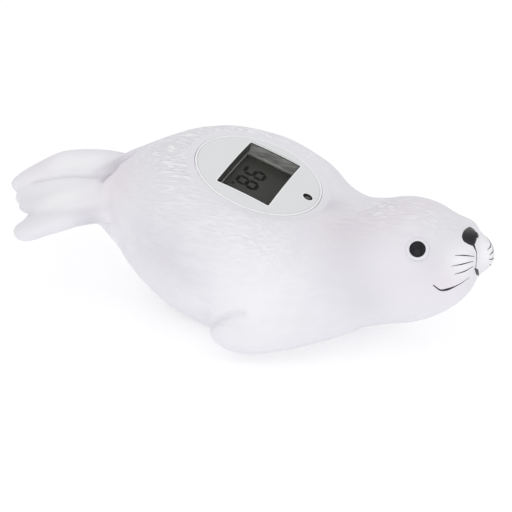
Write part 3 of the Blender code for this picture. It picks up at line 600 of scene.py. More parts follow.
@dataclass(frozen=True)
class VinylFinish:
    """Soft satin vinyl, white with a lavender tint, pressed with short fur, with painted shade in
    its creases, painted light where it is made paler, and fur strokes lighter as painted highlight.
    """

    name: str = "pup_vinyl"
    colour: Colour = (0.800, 0.792, 0.832)
    pink: Colour = (0.790, 0.735, 0.790)
    hollow: Colour = (0.775, 0.768, 0.815)
    # painted light: a paler skin colour for places painted as more brightly lit
    painted_light: Colour = (0.945, 0.940, 0.965)
    light: Colour = (0.885, 0.885, 0.915)
    # painted shade: the colour laid into creases and shade spots, where shade would fall
    fold_and_painted_shade: Colour = (0.520, 0.500, 0.550)
    roughness: float = 0.55
    fur_length: float = 5.2
    fur_width: float = 0.85
    fur_depth: float = 0.24
    # painted highlight: the lighter colour of the fur strokes, as light on their ridges
    fur_highlight: Colour = (0.905, 0.905, 0.930)
    cloud: Triple = (70.0, 70.0, 70.0)
    speckle: Triple = (120.0, 190.0, 260.0)
    grain: Triple = (1500.0, 1500.0, 1500.0)
    grain_depth: float = 0.02
    shine: float = 0.35

    def material(self) -> bpy.types.Material:
        """The skin's material, made once, which reads the skin's tint, mottle and fur, and where
        painted light and painted shade lie on it.
        """
        known = bpy.data.materials.get(self.name)
        if known is not None:
            return known
        shader = Shader(self.name, self.colour, self.roughness)
        cloud = shader.noise(self.cloud, 3.0)
        ground = shader.mixed(shader.span(cloud, 0.42, 0.72, 0.0, 0.5), self.colour, self.hollow)
        # painted light: paler skin in the painted-light spots
        with_painted_light = shader.mixed(shader.attribute("painted_light"), ground, self.painted_light)
        pinked = shader.mixed(shader.attribute("tint"), with_painted_light, self.pink)
        specks = shader.span(shader.noise(self.speckle), 0.44, 0.72, 0.0, 0.7)
        mottle = shader.maths("MULTIPLY", specks, shader.attribute("mottle"))
        mottled = shader.mixed(mottle, pinked, self.light)
        along = 1.0 / (self.fur_length * MM)
        across = 1.0 / (self.fur_width * MM)
        strokes = shader.span(shader.noise((along, across, across), 1.0), 0.42, 0.60, 0.0, 1.0)
        combed = shader.maths("MULTIPLY", strokes, shader.attribute("fur"))
        # the fur strokes are pressed relief; their lighter colour is painted highlight
        fur_highlighted = shader.mixed(combed, mottled, self.fur_highlight)
        # painted shade: darker in deep creases and in the shade spots
        shade_painted = shader.mixed(shader.attribute("fold_and_painted_shade"), fur_highlighted, self.fold_and_painted_shade)
        shader.feed(shade_painted, "Base Color")
        skin = shader.relief(shader.noise(self.grain), self.grain_depth * MM, 0.4)
        shader.feed(shader.relief(combed, self.fur_depth * MM, 1.0, skin), "Normal")
        rough = shader.span(cloud, 0.3, 0.7, self.roughness - 0.05, self.roughness + 0.05)
        shader.feed(rough, "Roughness")
        shader.set("Specular IOR Level", self.shine)
        return shader.material


WHITE_ABS = PlainFinish("white_abs_satin", (0.755, 0.765, 0.775), (0.745, 0.757, 0.767), 0.36)
# painted highlight: a lighter copy of the white plastic for the bead and rims that catch the light
EDGE_HIGHLIGHT = PlainFinish("white_abs_edge_highlight", (0.94, 0.94, 0.94), (0.92, 0.92, 0.93), 0.3)
EYE_BLACK = PlainFinish(
    "eye_gloss_black",
    (0.010, 0.009, 0.012),
    (0.014, 0.013, 0.016),
    0.14,
    depth=0.002,
    gloss_spread=0.02,
    shine=0.22,
)
NOSE_BLACK = PlainFinish(
    "nose_satin_black",
    (0.010, 0.009, 0.011),
    (0.023, 0.022, 0.025),
    0.42,
    grain=(1100.0, 1100.0, 1100.0),
    depth=0.08,
    shine=0.3,
)
LINE_BLACK = PlainFinish(
    "line_paint", (0.022, 0.021, 0.025), (0.036, 0.034, 0.040), 0.5, depth=0.01, shine=0.3
)
DISPLAY_GLASS = PlainFinish(
    "display_glass",
    (0.040, 0.041, 0.034),
    (0.031, 0.032, 0.027),
    0.35,
    depth=0.001,
    gloss_spread=0.03,
    shine=0.2,
)
DIGIT_INK = PlainFinish(
    "digit_ink", (0.007, 0.007, 0.006), (0.009, 0.009, 0.008), 0.5, depth=0.001, shine=0.02
)
# painted shade: a dark grey liner standing for the shaded walls of the window well
SHADE_LINER = PlainFinish(
    "liner_painted_shade", (0.075, 0.075, 0.071), (0.060, 0.060, 0.057), 0.5, depth=0.01, shine=0.2
)
# painted light: a lighter, streaked copy of the liner for the lit far wall of the well
LIT_LINER_WALL = PlainFinish(
    "liner_painted_light_streaked",
    (0.500, 0.500, 0.485),
    (0.250, 0.250, 0.240),
    0.5,
    grain=(160.0, 160.0, 1500.0),
    depth=0.03,
    shine=0.2,
    streaked=True,
)
LINER_LINE = PlainFinish("liner_bright_line", (0.46, 0.46, 0.44), (0.40, 0.40, 0.38), 0.35)
PANE = PlainFinish(
    "clear_pane",
    (0.04, 0.04, 0.04),
    (0.05, 0.05, 0.05),
    0.05,
    depth=0.0005,
    gloss_spread=0.02,
    shine=0.12,
    alpha=0.06,
)
LAMP_RESIN = PlainFinish(
    "lamp_resin", (0.020, 0.016, 0.017), (0.028, 0.021, 0.022), 0.16, depth=0.002, shine=0.6
)
LAMP_SLEEVE = PlainFinish(
    "lamp_sleeve", (0.030, 0.030, 0.031), (0.040, 0.040, 0.041), 0.5, shine=0.2
)
STEEL = PlainFinish(
    "bright_steel", (0.62, 0.62, 0.63), (0.56, 0.56, 0.57), 0.24, 1.0, (300.0, 3000.0, 300.0)
)
BRASS = PlainFinish("plain_brass", (0.75, 0.55, 0.25), (0.68, 0.48, 0.21), 0.30, 1.0)
RUBBER = PlainFinish("black_rubber_matt", (0.030, 0.030, 0.030), (0.040, 0.040, 0.040), 0.75)
EPOXY = PlainFinish(
    "cast_epoxy", (0.010, 0.010, 0.010), (0.014, 0.014, 0.014), 0.25, depth=0.06, coat=0.3
)
BOARD = PlainFinish(
    "solder_mask", (0.020, 0.160, 0.070), (0.014, 0.120, 0.050), 0.42, grain=(500.0, 500.0, 500.0)
)
RED_WIRE = PlainFinish("red_insulation", (0.60, 0.03, 0.02), (0.50, 0.025, 0.018), 0.5)
BLACK_WIRE = PlainFinish("black_insulation", (0.020, 0.020, 0.020), (0.028, 0.028, 0.028), 0.5)

NODES_BY_FINISH: tuple[tuple[PlainFinish, tuple[str, ...]], ...] = (
    (DISPLAY_GLASS, ("lcd_panel",)),
    (WHITE_ABS, ("lcd_holder", "module_cup", "battery_door")),
    (RUBBER, ("zebra_strip_front", "zebra_strip_rear", "housing_seal", "door_seal")),
    (BOARD, ("circuit_board",)),
    (STEEL, ("board_screw_left", "board_screw_right", "crystal_can", "door_screw")),
    (STEEL, ("housing_screw_1", "housing_screw_2", "housing_screw_3", "sensor_cap")),
    (STEEL, ("button_cell_left", "button_cell_right")),
    (EPOXY, ("chip_blob", "thermistor")),
    (BRASS, ("cell_contact_left", "cell_contact_right", "link_contact")),
    (RED_WIRE, ("battery_lead_left",)),
    (BLACK_WIRE, ("battery_lead_right", "sensor_lead")),
)


# Where things are


@dataclass(frozen=True)
class ModulePlace:
    """The tilted frame of the round module, measured from the cover's top."""

    tilt: float = 18.0
    lens_to_top: Triple = (0.309, 0.0, 0.951)
    seen_shift: Triple = (0.12, 0.45, -0.03)

    @property
    def top(self) -> Vector:
        """The middle of the cover's top."""
        low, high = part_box("display_lens")
        return (low + high) / 2 + (Vector(self.lens_to_top) + Vector(self.seen_shift)) * MM

    @property
    def matrix(self) -> Matrix:
        """Takes millimetres in the module's frame to metres in the pup's."""
        turn = Matrix.Rotation(math.radians(self.tilt), 4, "Y")
        return Matrix.Translation(self.top) @ turn @ Matrix.Scale(MM, 4)

    @property
    def upwards(self) -> np.ndarray:
        """One millimetre out of the cover's top."""
        return np.array(self.matrix.to_3x3() @ Vector((0.0, 0.0, 1.0)))


MODULE = ModulePlace()


@dataclass(frozen=True)
class PhotoCamera:
    """The camera of the photograph, fitted to the cover, window and lamp."""

    azimuth: float = 21.2
    elevation: float = 29.49
    distance: float = 0.5563
    focal: float = 1758.3
    cover_pixel: Pixel = (260.28, 170.87)
    half_frame: float = 256.0
    sensor: float = 36.0

    @property
    def axes(self) -> tuple[Vector, Vector, Vector]:
        """Directions to the right, up and back from the view."""
        a = math.radians(self.azimuth)
        e = math.radians(self.elevation)
        right = Vector((math.cos(a), math.sin(a), 0.0))
        back = Vector((math.sin(a) * math.cos(e), -math.cos(a) * math.cos(e), math.sin(e)))
        return right, back.cross(right), back

    @property
    def place(self) -> Vector:
        """Where the camera stands."""
        right, up, back = self.axes
        reach = self.distance / self.focal
        aside = (self.cover_pixel[0] - self.half_frame) * reach
        down = (self.cover_pixel[1] - self.half_frame) * reach
        return MODULE.top + back * self.distance - right * aside + up * down

    def towards(self, pixel: Pixel) -> Vector:
        """Direction from the camera through a pixel of the photograph.

        Args:
            pixel: The pixel.

        Returns:
            The direction, one metre long.
        """
        right, up, back = self.axes
        aside = (pixel[0] - self.half_frame) / self.focal
        down = (pixel[1] - self.half_frame) / self.focal
        return (right * aside - up * down - back).normalized()

    def at_level(self, pixel: Pixel, height: float) -> Vector:
        """The place at a height, in millimetres, that a pixel looks at."""
        start, direction = self.place, self.towards(pixel)
        return start + direction * ((height * MM - start.z) / direction.z)

    def build(self) -> None:
        """Makes the camera and gives it to the scene."""
        right, up, back = self.axes
        data = bpy.data.cameras.new("photo_camera")
        data.sensor_width = self.sensor
        data.lens = self.focal / (2 * self.half_frame) * self.sensor
        data.clip_start = 0.01
        data.clip_end = 20.0
        made = bpy.data.objects.new("photo_camera", data)
        bpy.context.scene.collection.objects.link(made)
        turn = Matrix((right, up, back)).transposed().to_4x4()
        made.matrix_world = Matrix.Translation(self.place) @ turn
        bpy.context.scene.camera = made


CAMERA = PhotoCamera()


# The skin


class Sculpt:
    """The points of a fine mesh, moved as soft clay would be."""

    def __init__(self, made: bpy.types.Object) -> None:
        """Reads the points, their directions and what joins them."""
        self.mesh = made.data
        count = len(self.mesh.vertices)
        flat = np.empty(count * 3)
        self.mesh.vertices.foreach_get("co", flat)
        self.points = flat.reshape(count, 3)
        pairs = np.empty(len(self.mesh.edges) * 2, dtype=np.int64)
        self.mesh.edges.foreach_get("vertices", pairs)
        self.pairs = pairs.reshape(-1, 2)
        self.joined = np.bincount(self.pairs.ravel(), minlength=count).astype(float)

    @property
    def normals(self) -> np.ndarray:
        """Outward direction at each point."""
        self.write()
        flat = np.empty(len(self.points) * 3)
        self.mesh.vertices.foreach_get("normal", flat)
        return flat.reshape(-1, 3)

    def write(self) -> None:
        """Puts the points back into the mesh."""
        self.mesh.vertices.foreach_set("co", self.points.ravel())
        self.mesh.update()

    def averaged(self, values: np.ndarray, passes: int) -> np.ndarray:
        """Values at the points, each mixed with its neighbours' many times.

        Args:
            values: A row of values for each point.
            passes: Number of times that neighbours are averaged.

        Returns:
            The mixed values.
        """
        first, second = self.pairs.T
        values = values.copy()
        for _ in range(passes):
            for axis in range(values.shape[1]):
                column = values[:, axis]
                total = np.bincount(first, column[second], len(column))
                total += np.bincount(second, column[first], len(column))
                values[:, axis] = (column + total / self.joined) / 2
        return values

    def smooth(self, weight: np.ndarray, passes: int) -> None:
        """Smooths the surface without shrinking its broad form.

        Args:
            weight: Share of the smoothing that each point takes.
            passes: Number of times that neighbours are averaged.
        """
        once = self.averaged(self.points, passes)
        kept = self.averaged(self.points - once, passes)
        self.points += (once + kept - self.points) * weight[:, None]

    def swell(self, amount: np.ndarray) -> None:
        """Moves each point outwards by its own amount."""
        self.points += self.normals * amount[:, None]

    def press(self, path: Sequence[Vector], width: float, depth: float) -> np.ndarray:
        """Presses a soft groove along a path on the surface.

        Args:
            path: Points of the path.
            width: Half width of the groove.
            depth: Depth at its middle.

        Returns:
            How far into the groove each point lies, from 0 to 1.
        """
        nearest = np.full(len(self.points), np.inf)
        for start, end in zip(path, path[1:]):
            along = np.array(end - start)
            offset = self.points - np.array(start)
            share = np.clip(offset @ along / max(along @ along, 1e-12), 0.0, 1.0)
            nearest = np.minimum(nearest, np.linalg.norm(offset - share[:, None] * along, axis=1))
        pressed = np.exp(-((nearest / width) ** 2))
        self.swell(-depth * pressed)
        return pressed

    def local(self, matrix: Matrix) -> np.ndarray:
        """The points in another frame."""
        inverse = np.array(matrix.inverted())
        return self.points @ inverse[:3, :3].T + inverse[:3, 3]


def ramp(values: np.ndarray, start: float, end: float) -> np.ndarray:
    """0 up to start, 1 from end on, and a soft slope between them."""
    share = np.clip((values - start) / (end - start), 0.0, 1.0)
    return share * share * (3.0 - 2.0 * share)


def ramp_mm(values: np.ndarray, ends: Flat) -> np.ndarray:
    """The same slope, between two ends in millimetres."""
    return ramp(values, ends[0] * MM, ends[1] * MM)


def mirrored(path: Iterable[Vector]) -> list[Vector]:
    """A path on the pup's other side."""
    return [Vector((point.x, -point.y, point.z)) for point in path]


def along_pixels(pixels: Sequence[Pixel], count: int) -> list[Pixel]:
    """Evenly spaced points of a smooth line through pixels.

    Args:
        pixels: Points that the line goes through.
        count: Number of points wanted.

    Returns:
        The points, first and last included.
    """
    known = [Vector(p) for p in pixels]
    known = [known[0] * 2 - known[1], *known, known[-1] * 2 - known[-2]]
    fine: list[Vector] = []
    for a, b, c, d in zip(known, known[1:], known[2:], known[3:]):
        for step in range(12):
            t = step / 12
            bend = (a * 2 - b * 5 + c * 4 - d) * t**2
            twist = (b * 3 - a - c * 3 + d) * t**3
            fine.append((b * 2 + (c - a) * t + bend + twist) / 2)
    fine.append(known[-2])
    reach = np.cumsum([0.0, *[(q - p).length for p, q in zip(fine, fine[1:])]])
    wanted = np.linspace(0.0, reach[-1], count)
    columns = [np.interp(wanted, reach, [p[axis] for p in fine]) for axis in (0, 1)]
    return list(zip(*(column.tolist() for column in columns)))


class Surface:
    """The finished skin, for finding places on it."""

    middle_pixel: Pixel = (256.0, 240.0)
    pixel_step: float = 0.5
    pixel_steps: int = 24
    same_side: float = 6.0

    def __init__(self, made: bpy.types.Object) -> None:
        """Reads the faces of the skin."""
        mesh = made.data
        faces = [tuple(face.vertices) for face in mesh.polygons]
        self.tree = BVHTree.FromPolygons([v.co.copy() for v in mesh.vertices], faces)

    def seen_at(self, pixel: Pixel) -> Vector | None:
        """The place on the skin that a pixel of the photograph shows."""
        place, _, _, _ = self.tree.ray_cast(CAMERA.place, CAMERA.towards(pixel))
        return place

    def seen_near(self, pixel: Pixel) -> Vector:
        """The place a pixel shows, or the first one on the way to the photograph's middle.

        Args:
            pixel: The pixel.

        Returns:
            The place on the skin.
        """
        step = (Vector(self.middle_pixel) - Vector(pixel)).normalized()
        for count in range(self.pixel_steps):
            place = self.seen_at(tuple(Vector(pixel) + step * (self.pixel_step * count)))
            if place is not None:
                return place
        raise ValueError(f"no skin near {pixel}")

    def near_seen(self, pixel: Pixel, beside: Vector) -> tuple[Vector, Vector]:
        """The place a pixel shows, or the nearest one where it shows none.

        Args:
            pixel: The pixel.
            beside: A place on the skin at about the same distance.

        Returns:
            The place on the skin, and its outward direction.
        """
        start, direction = CAMERA.place, CAMERA.towards(pixel)
        place, normal, _, reach = self.tree.ray_cast(start, direction)
        depth = (beside - start).dot(direction)
        if place is None or abs(reach - depth) > self.same_side * MM:
            return self.nearest(start + direction * depth)
        return place, normal

    def path(self, pixels: Sequence[Pixel], count: int = 24) -> list[Vector]:
        """A path on the skin through pixels of the photograph."""
        places = [self.seen_at(pixel) for pixel in along_pixels(pixels, count)]
        return [place for place in places if place is not None]

    def nearest(self, place: Vector) -> tuple[Vector, Vector]:
        """The nearest place on the skin, and its outward direction."""
        found, normal, _, _ = self.tree.find_nearest(place)
        return found, normal


@dataclass(frozen=True)
class Crease:
    """A soft crease pressed into the skin, drawn through pixels of the photograph, with painted
    shade along it.
    """

    pixels: tuple[Pixel, ...]
    width: float
    depth: float
    both_sides: bool = False


@dataclass(frozen=True)
class Patch:
    """A soft round patch of colour or fur on the skin, in millimetres."""

    centre: Triple
    reach: float
    strength: float

    def over(self, points: np.ndarray) -> np.ndarray:
        """How strong the patch is at each point."""
        away = np.linalg.norm(points - np.array(self.centre) * MM, axis=1)
        return self.strength * np.exp(-((away / (self.reach * MM)) ** 2))


@dataclass(frozen=True)
class Spot:
    """A soft round spot on the skin, where a pixel of the photograph shows it."""

    pixel: Pixel
    reach: float
    amount: float

    def over(self, points: np.ndarray, surface: Surface) -> np.ndarray:
        """The spot's amount at each point.

        Args:
            points: The points.
            surface: The skin as the camera sees it.

        Returns:
            An amount for each point.
        """
        place = surface.seen_near(self.pixel)
        away = np.linalg.norm(points - np.array(place), axis=1)
        return self.amount * np.exp(-((away / (self.reach * MM)) ** 2))


@dataclass
class SealSkin:
    """The hollow vinyl skin of the pup, with its fine surface."""

    voxel: float = 0.8
    tail_start: float = -36.0
    tail_end: float = -46.0
    web: float = 1.7
    seat_radius: float = 22.4
    seat_level: float = -2.1
    notch_levels: Flat = (6.0, 44.0)
    notch: tuple[Pixel, ...] = (
        (32.5, 213.0),
        (26.0, 210.6),
        (19.5, 205.5),
        (8.0, 201.0),
        (8.0, 226.0),
        (17.0, 226.0),
    )
    notch_ease: float = 16.0
    body_passes: int = 60
    tail_passes: int = 24
    face_passes: int = 8
    last_passes: int = 3
    floor_ease: Flat = (0.3, 1.2)
    seat_ease: float = 1.1
    seat_floor: float = -3.2
    seat_side: Flat = (22.6, 25.0)
    seat_foot: Flat = (-9.0, -6.0)
    pocket_side: Flat = (18.0, 20.0)
    pocket_top: Flat = (-37.0, -34.0)
    face_start: Flat = (52.0, 62.0)
    tail_root: Flat = (-40.0, -56.0)
    tail_stretch: Flat = (-58.0, -78.0)
    berm: Triple = (1.45, 88.0, 34.0)
    berm_inside: Flat = (21.6, 24.0)
    berm_outside: Flat = (27.0, 37.0)
    berm_foot: float = -14.0
    pull_start: Flat = (22.4, 24.2)
    calm_start: Flat = (23.0, 29.0)
    calm_face: Flat = (50.0, 62.0)
    calm_height: Flat = (0.3, 2.0)
    # Crease depth that gets full painted shade, and the most painted shade one crease gets
    shaded_depth: float = 2.4
    darkest_fold_shade: float = 0.7
    least_fur: float = 0.04
    box_margin: float = 0.05
    uneven_height: float = 0.32
    uneven_waves: float = 130.0
    pulls: tuple[Spot, ...] = (
        Spot((140.0, 151.0), 8.0, 0.5),
        Spot((170.0, 141.0), 8.0, 0.6),
        Spot((200.0, 131.5), 8.0, 0.5),
        Spot((232.0, 130.0), 8.0, 1.0),
        Spot((258.0, 132.0), 7.0, 0.5),
        Spot((282.0, 138.0), 7.0, 0.0),
        Spot((301.0, 146.0), 6.0, -0.3),
        Spot((320.0, 159.5), 6.0, -0.9),
        Spot((334.0, 171.5), 6.0, -0.3),
        Spot((424.0, 199.5), 8.0, 0.9),
        Spot((442.0, 206.5), 6.0, 0.3),
        Spot((452.0, 212.0), 6.0, 0.2),
        Spot((473.0, 229.0), 4.0, 1.5),
        Spot((464.0, 222.0), 4.0, 0.8),
        Spot((489.0, 241.0), 4.5, -0.4),
        Spot((395.0, 319.0), 8.0, 0.4),
        Spot((408.0, 319.0), 7.0, 0.3),
        Spot((356.0, 326.0), 7.0, 0.9),
        Spot((131.0, 262.0), 7.0, 0.1),
        Spot((182.0, 308.0), 10.0, -1.7),
        Spot((200.0, 319.0), 7.0, -1.1),
        Spot((213.0, 331.0), 4.0, 0.9),
        Spot((224.0, 347.0), 5.0, 0.3),
        Spot((280.0, 349.0), 10.0, -0.5),
        Spot((318.0, 342.0), 10.0, -0.7),
        Spot((464.0, 294.0), 9.0, -1.3),
        Spot((444.0, 309.0), 8.0, -0.7),
        Spot((110.0, 235.0), 6.0, -1.9),
        Spot((95.0, 223.0), 6.0, -0.1),
        Spot((72.0, 227.0), 8.0, -0.8),
        Spot((45.0, 234.0), 6.0, -0.6),
        Spot((18.0, 231.0), 4.0, 0.7),
        Spot((14.0, 187.0), 4.0, 1.0),
        Spot((19.0, 196.0), 3.0, 0.7),
        Spot((24.0, 203.0), 4.0, 1.3),
        Spot((28.0, 170.5), 6.0, -0.9),
        Spot((62.0, 153.5), 6.0, 0.9),
        Spot((85.0, 151.5), 8.0, 0.5),
        Spot((112.0, 153.0), 7.0, 0.6),
        Spot((128.0, 154.5), 5.0, 0.5),
        Spot((48.0, 183.5), 4.5, 0.8),
        Spot((72.0, 182.0), 5.0, 0.8),
        Spot((94.0, 181.0), 5.0, 0.8),
        Spot((108.0, 182.0), 4.0, 1.3),
    )
    # Spots of painted shade: beside the rump's crease, under the near flipper's root, and over
    # areas painted darker
    painted_shades: tuple[Spot, ...] = (
        Spot((111.0, 168.0), 3.6, 0.34),
        Spot((119.0, 159.0), 3.4, 0.34),
        Spot((92.0, 221.5), 3.6, 0.40),
        Spot((80.0, 222.0), 3.4, 0.20),
        Spot((29.0, 216.0), 2.6, 0.22),
        Spot((152.0, 240.0), 13.0, 0.26),
        Spot((182.0, 270.0), 10.0, 0.22),
        Spot((332.0, 205.0), 5.0, 0.30),
        Spot((345.0, 228.0), 8.0, 0.16),
        Spot((345.0, 272.0), 11.0, 0.26),
        Spot((365.0, 305.0), 7.0, 0.18),
        Spot((432.0, 262.0), 7.0, 0.18),
    )
    creases: tuple[Crease, ...] = (
        Crease(
            ((34.0, 180.5), (50.0, 177.0), (64.0, 175.0), (86.0, 174.5), (104.0, 174.5)), 1.4, 1.2
        ),
        Crease(((104.0, 175.0), (110.0, 170.0), (116.0, 163.0), (129.0, 153.5)), 2.8, 2.2),
        Crease(((40.0, 211.5), (60.0, 210.0), (84.0, 208.0), (106.0, 205.0)), 2.4, 0.6),
        Crease(((212.0, 323.0), (220.0, 319.5), (232.0, 315.0), (243.0, 314.5)), 1.2, 1.0, True),
    )
    tints: tuple[Patch, ...] = (
        Patch((50.0, -6.0, 48.0), 12.0, 0.6),
        Patch((74.0, -16.0, 28.0), 6.0, 0.7),
        Patch((62.0, -21.0, 28.0), 10.0, 0.2),
        Patch((-40.0, -10.0, 42.0), 12.0, 0.5),
        Patch((-72.0, 6.0, 30.0), 9.0, 0.5),
    )
    seen_tints: tuple[Spot, ...] = (
        Spot((340.0, 225.0), 9.0, 0.75),
        Spot((390.0, 208.0), 8.0, 0.35),
        Spot((425.0, 205.0), 5.0, 0.6),
        Spot((122.0, 185.0), 7.0, 0.5),
    )
    furs: tuple[Patch, ...] = (
        Patch((-22.0, -2.0, 52.0), 11.0, 0.9),
        Patch((-14.0, -14.0, 50.0), 7.0, 0.5),
        Patch((-14.0, 14.0, 50.0), 9.0, 0.8),
        Patch((48.0, 0.0, 46.0), 10.0, 0.45),
        Patch((66.0, -2.0, 46.0), 8.0, 0.35),
    )
    seen_furs: tuple[Spot, ...] = (
        Spot((183.0, 150.0), 6.0, 0.9),
        Spot((187.0, 168.0), 6.0, 0.6),
        Spot((203.0, 137.0), 6.0, 0.8),
        Spot((238.0, 129.0), 6.0, 0.8),
        Spot((272.0, 135.0), 6.0, 0.7),
        Spot((308.0, 152.0), 6.0, 0.6),
        Spot((395.0, 204.0), 8.0, 0.5),
        Spot((250.0, 235.0), 12.0, 0.28),
        Spot((215.0, 215.0), 12.0, 0.30),
        Spot((280.0, 250.0), 9.0, 0.20),
        Spot((175.0, 190.0), 9.0, 0.30),
        Spot((160.0, 240.0), 12.0, 0.15),
        Spot((228.0, 318.0), 6.0, 0.35),
        Spot((345.0, 215.0), 8.0, 0.30),
    )
    # Spots of painted light: paler skin on the muzzle pads, the tail and the belly
    painted_lights: tuple[Spot, ...] = (
        Spot((462.0, 262.0), 5.0, 1.0),
        Spot((486.0, 250.0), 5.0, 1.0),
        Spot((60.0, 164.0), 9.0, 0.9),
        Spot((95.0, 162.0), 7.0, 0.6),
        Spot((30.0, 180.0), 7.0, 0.7),
        Spot((55.0, 200.0), 8.0, 0.7),
        Spot((85.0, 195.0), 8.0, 0.7),
        Spot((250.0, 305.0), 14.0, 0.4),
    )
    mottles: tuple[Patch, ...] = (
        Patch((0.0, -33.0, 32.0), 20.0, 0.8),
        Patch((30.0, -30.0, 26.0), 16.0, 0.6),
        Patch((-30.0, -24.0, 30.0), 14.0, 0.5),
        Patch((0.0, 33.0, 32.0), 20.0, 0.8),
        Patch((30.0, 30.0, 26.0), 16.0, 0.6),
        Patch((-30.0, 24.0, 30.0), 14.0, 0.5),
    )
    made: bpy.types.Object = field(init=False)
    surface: Surface = field(init=False)
    fold_shading: np.ndarray = field(init=False)

    def build(self) -> Surface:
        """Makes the skin.

        Returns:
            The skin's surface, for the pieces that sit on it.
        """
        self.made = merged_copy("seal_body", "pup_skin")
        self.web_toes()
        self.soften()
        self.cut_notch()
        self.pull()
        self.fold_and_painted_shade()
        self.surface = Surface(self.made)
        self.mark()
        dressed(self.made, VinylFinish(), ["seal_body"], 60.0)
        return self.surface

    def cut_notch(self) -> None:
        """Cuts the notch between the tips of the near tail flipper."""
        low = [CAMERA.at_level(pixel, self.notch_levels[0]) for pixel in self.notch]
        high = [CAMERA.at_level(pixel, self.notch_levels[1]) for pixel in self.notch]
        wedge = plain("notch_tool", bridged([low, high], closed=False))
        bm = bmesh.new()
        bm.from_mesh(wedge.data)
        bmesh.ops.holes_fill(bm, edges=bm.edges)
        bmesh.ops.recalc_face_normals(bm, faces=bm.faces)
        bm.to_mesh(wedge.data)
        bm.free()
        cut(self.made, wedge)
        remeshed(self.made, self.voxel * MM)
        clay = Sculpt(self.made)
        apex = np.array(CAMERA.at_level(self.notch[0], 25.0).xy)
        near = np.linalg.norm(clay.points[:, :2] - apex, axis=1) < self.notch_ease * MM
        clay.smooth(near * 1.0, 4)
        clay.write()

    def webbed(self, points: np.ndarray) -> np.ndarray:
        """How far each point's gaps are filled, from 0 to 1."""
        return ramp(points[:, 0], self.tail_start * MM, self.tail_end * MM)

    def web_toes(self) -> None:
        """Fills the narrow gaps between the toes of the tail."""
        remeshed(self.made, self.voxel * MM)
        clay = Sculpt(self.made)
        clay.swell(self.web * MM * self.webbed(clay.points))
        clay.write()
        remeshed(self.made, self.voxel * MM)
        clay = Sculpt(self.made)
        webbed = self.webbed(clay.points)
        clay.swell(-self.web * MM * webbed)
        clay.smooth(webbed, 12)
        clay.write()
        remeshed(self.made, self.voxel * MM)

    def soften(self) -> None:
        """Turns the drawn sections into one soft form, but for the seats."""
        clay = Sculpt(self.made)
        x, _, z = clay.points.T
        local = clay.local(MODULE.matrix)
        radius = np.hypot(local[:, 0], local[:, 1])
        seat = (1.0 - ramp(radius, *self.seat_side)) * ramp(local[:, 2], *self.seat_foot)
        pocket = 1.0 - ramp(radius, *self.pocket_side)
        pocket *= 1.0 - ramp(local[:, 2], *self.pocket_top)
        floor = 1.0 - ramp_mm(z, self.floor_ease)
        free = (1.0 - seat) * (1.0 - pocket) * (1.0 - floor)
        face = ramp_mm(x, self.face_start)
        tail = ramp_mm(x, self.tail_root)
        clay.smooth(free * (1.0 - face) * (1.0 - tail), self.body_passes)
        clay.smooth(free * tail, self.tail_passes)
        clay.smooth(free * face, self.face_passes)
        clay.smooth(free, self.last_passes)
        short = CAD_BOX[0].x - clay.points[:, 0].min() + 0.1 * MM
        clay.points[:, 0] += short * ramp_mm(clay.points[:, 0], self.tail_stretch)

        local = clay.local(MODULE.matrix)
        radius = np.hypot(local[:, 0], local[:, 1])
        edge = (self.seat_radius, self.seat_radius + self.seat_ease)
        inside = (1.0 - ramp(radius, *edge)) * (local[:, 2] > self.seat_floor)
        drop = np.maximum(local[:, 2] - self.seat_level, 0.0) * inside
        clay.points -= drop[:, None] * MODULE.upwards
        clay.points[:, 2] = np.maximum(clay.points[:, 2], 0.0)
        clay.write()

    def away_from_seat(self, clay: Sculpt, slope: Flat) -> np.ndarray:
        """0 beside the cover and on the floor, and 1 away from both.

        Args:
            clay: The skin.
            slope: Distances from the cover where the slope starts and ends.

        Returns:
            A value for each point.
        """
        local = clay.local(MODULE.matrix)
        radius = np.hypot(local[:, 0], local[:, 1])
        return ramp(radius, *slope) * ramp_mm(clay.points[:, 2], self.calm_height)

    def pull(self) -> None:
        """Draws the form out or in where the photograph's outline asks it."""
        clay = Sculpt(self.made)
        surface = Surface(self.made)
        local = clay.local(MODULE.matrix)
        radius = np.hypot(local[:, 0], local[:, 1])
        rise, middle, spread = self.berm
        turn = np.degrees(np.arctan2(local[:, 1], local[:, 0]))
        ring = ramp(radius, *self.berm_inside) * (1.0 - ramp(radius, *self.berm_outside))
        ring *= local[:, 2] > self.berm_foot
        lift = rise * ring * np.exp(-(((turn - middle) / spread) ** 2))
        clay.points += lift[:, None] * MODULE.upwards
        amount = sum(pull.over(clay.points, surface) for pull in self.pulls)
        clay.swell(amount * MM * self.away_from_seat(clay, self.pull_start))
        top = CAD_BOX[1].z - 0.1 * MM
        clay.points[:, 2] = np.clip(clay.points[:, 2], 0.0, top)
        clay.write()

    def fold_and_painted_shade(self) -> None:
        """Presses the creases, keeps how much painted shade each gives, and leaves the skin softly
        uneven.
        """
        clay = Sculpt(self.made)
        surface = Surface(self.made)
        self.fold_shading = np.zeros(len(clay.points))
        for crease in self.creases:
            path = surface.path(crease.pixels)
            for line in (path, mirrored(path)) if crease.both_sides else (path,):
                pressed = clay.press(line, crease.width * MM, crease.depth * MM)
                self.fold_shading += pressed * min(crease.depth / self.shaded_depth, self.darkest_fold_shade)
        calm = self.away_from_seat(clay, self.calm_start)
        calm *= 1.0 - 0.8 * ramp_mm(clay.points[:, 0], self.calm_face)
        waves = self.uneven_waves
        uneven = np.array([noise.noise(Vector(point) * waves) for point in clay.points])
        clay.swell(uneven * calm * self.uneven_height * MM)
        margin = self.box_margin * MM
        low, high = (np.array(corner) for corner in CAD_BOX)
        clay.points = np.clip(clay.points, low + (margin, margin, 0.0), high - margin)
        clay.write()

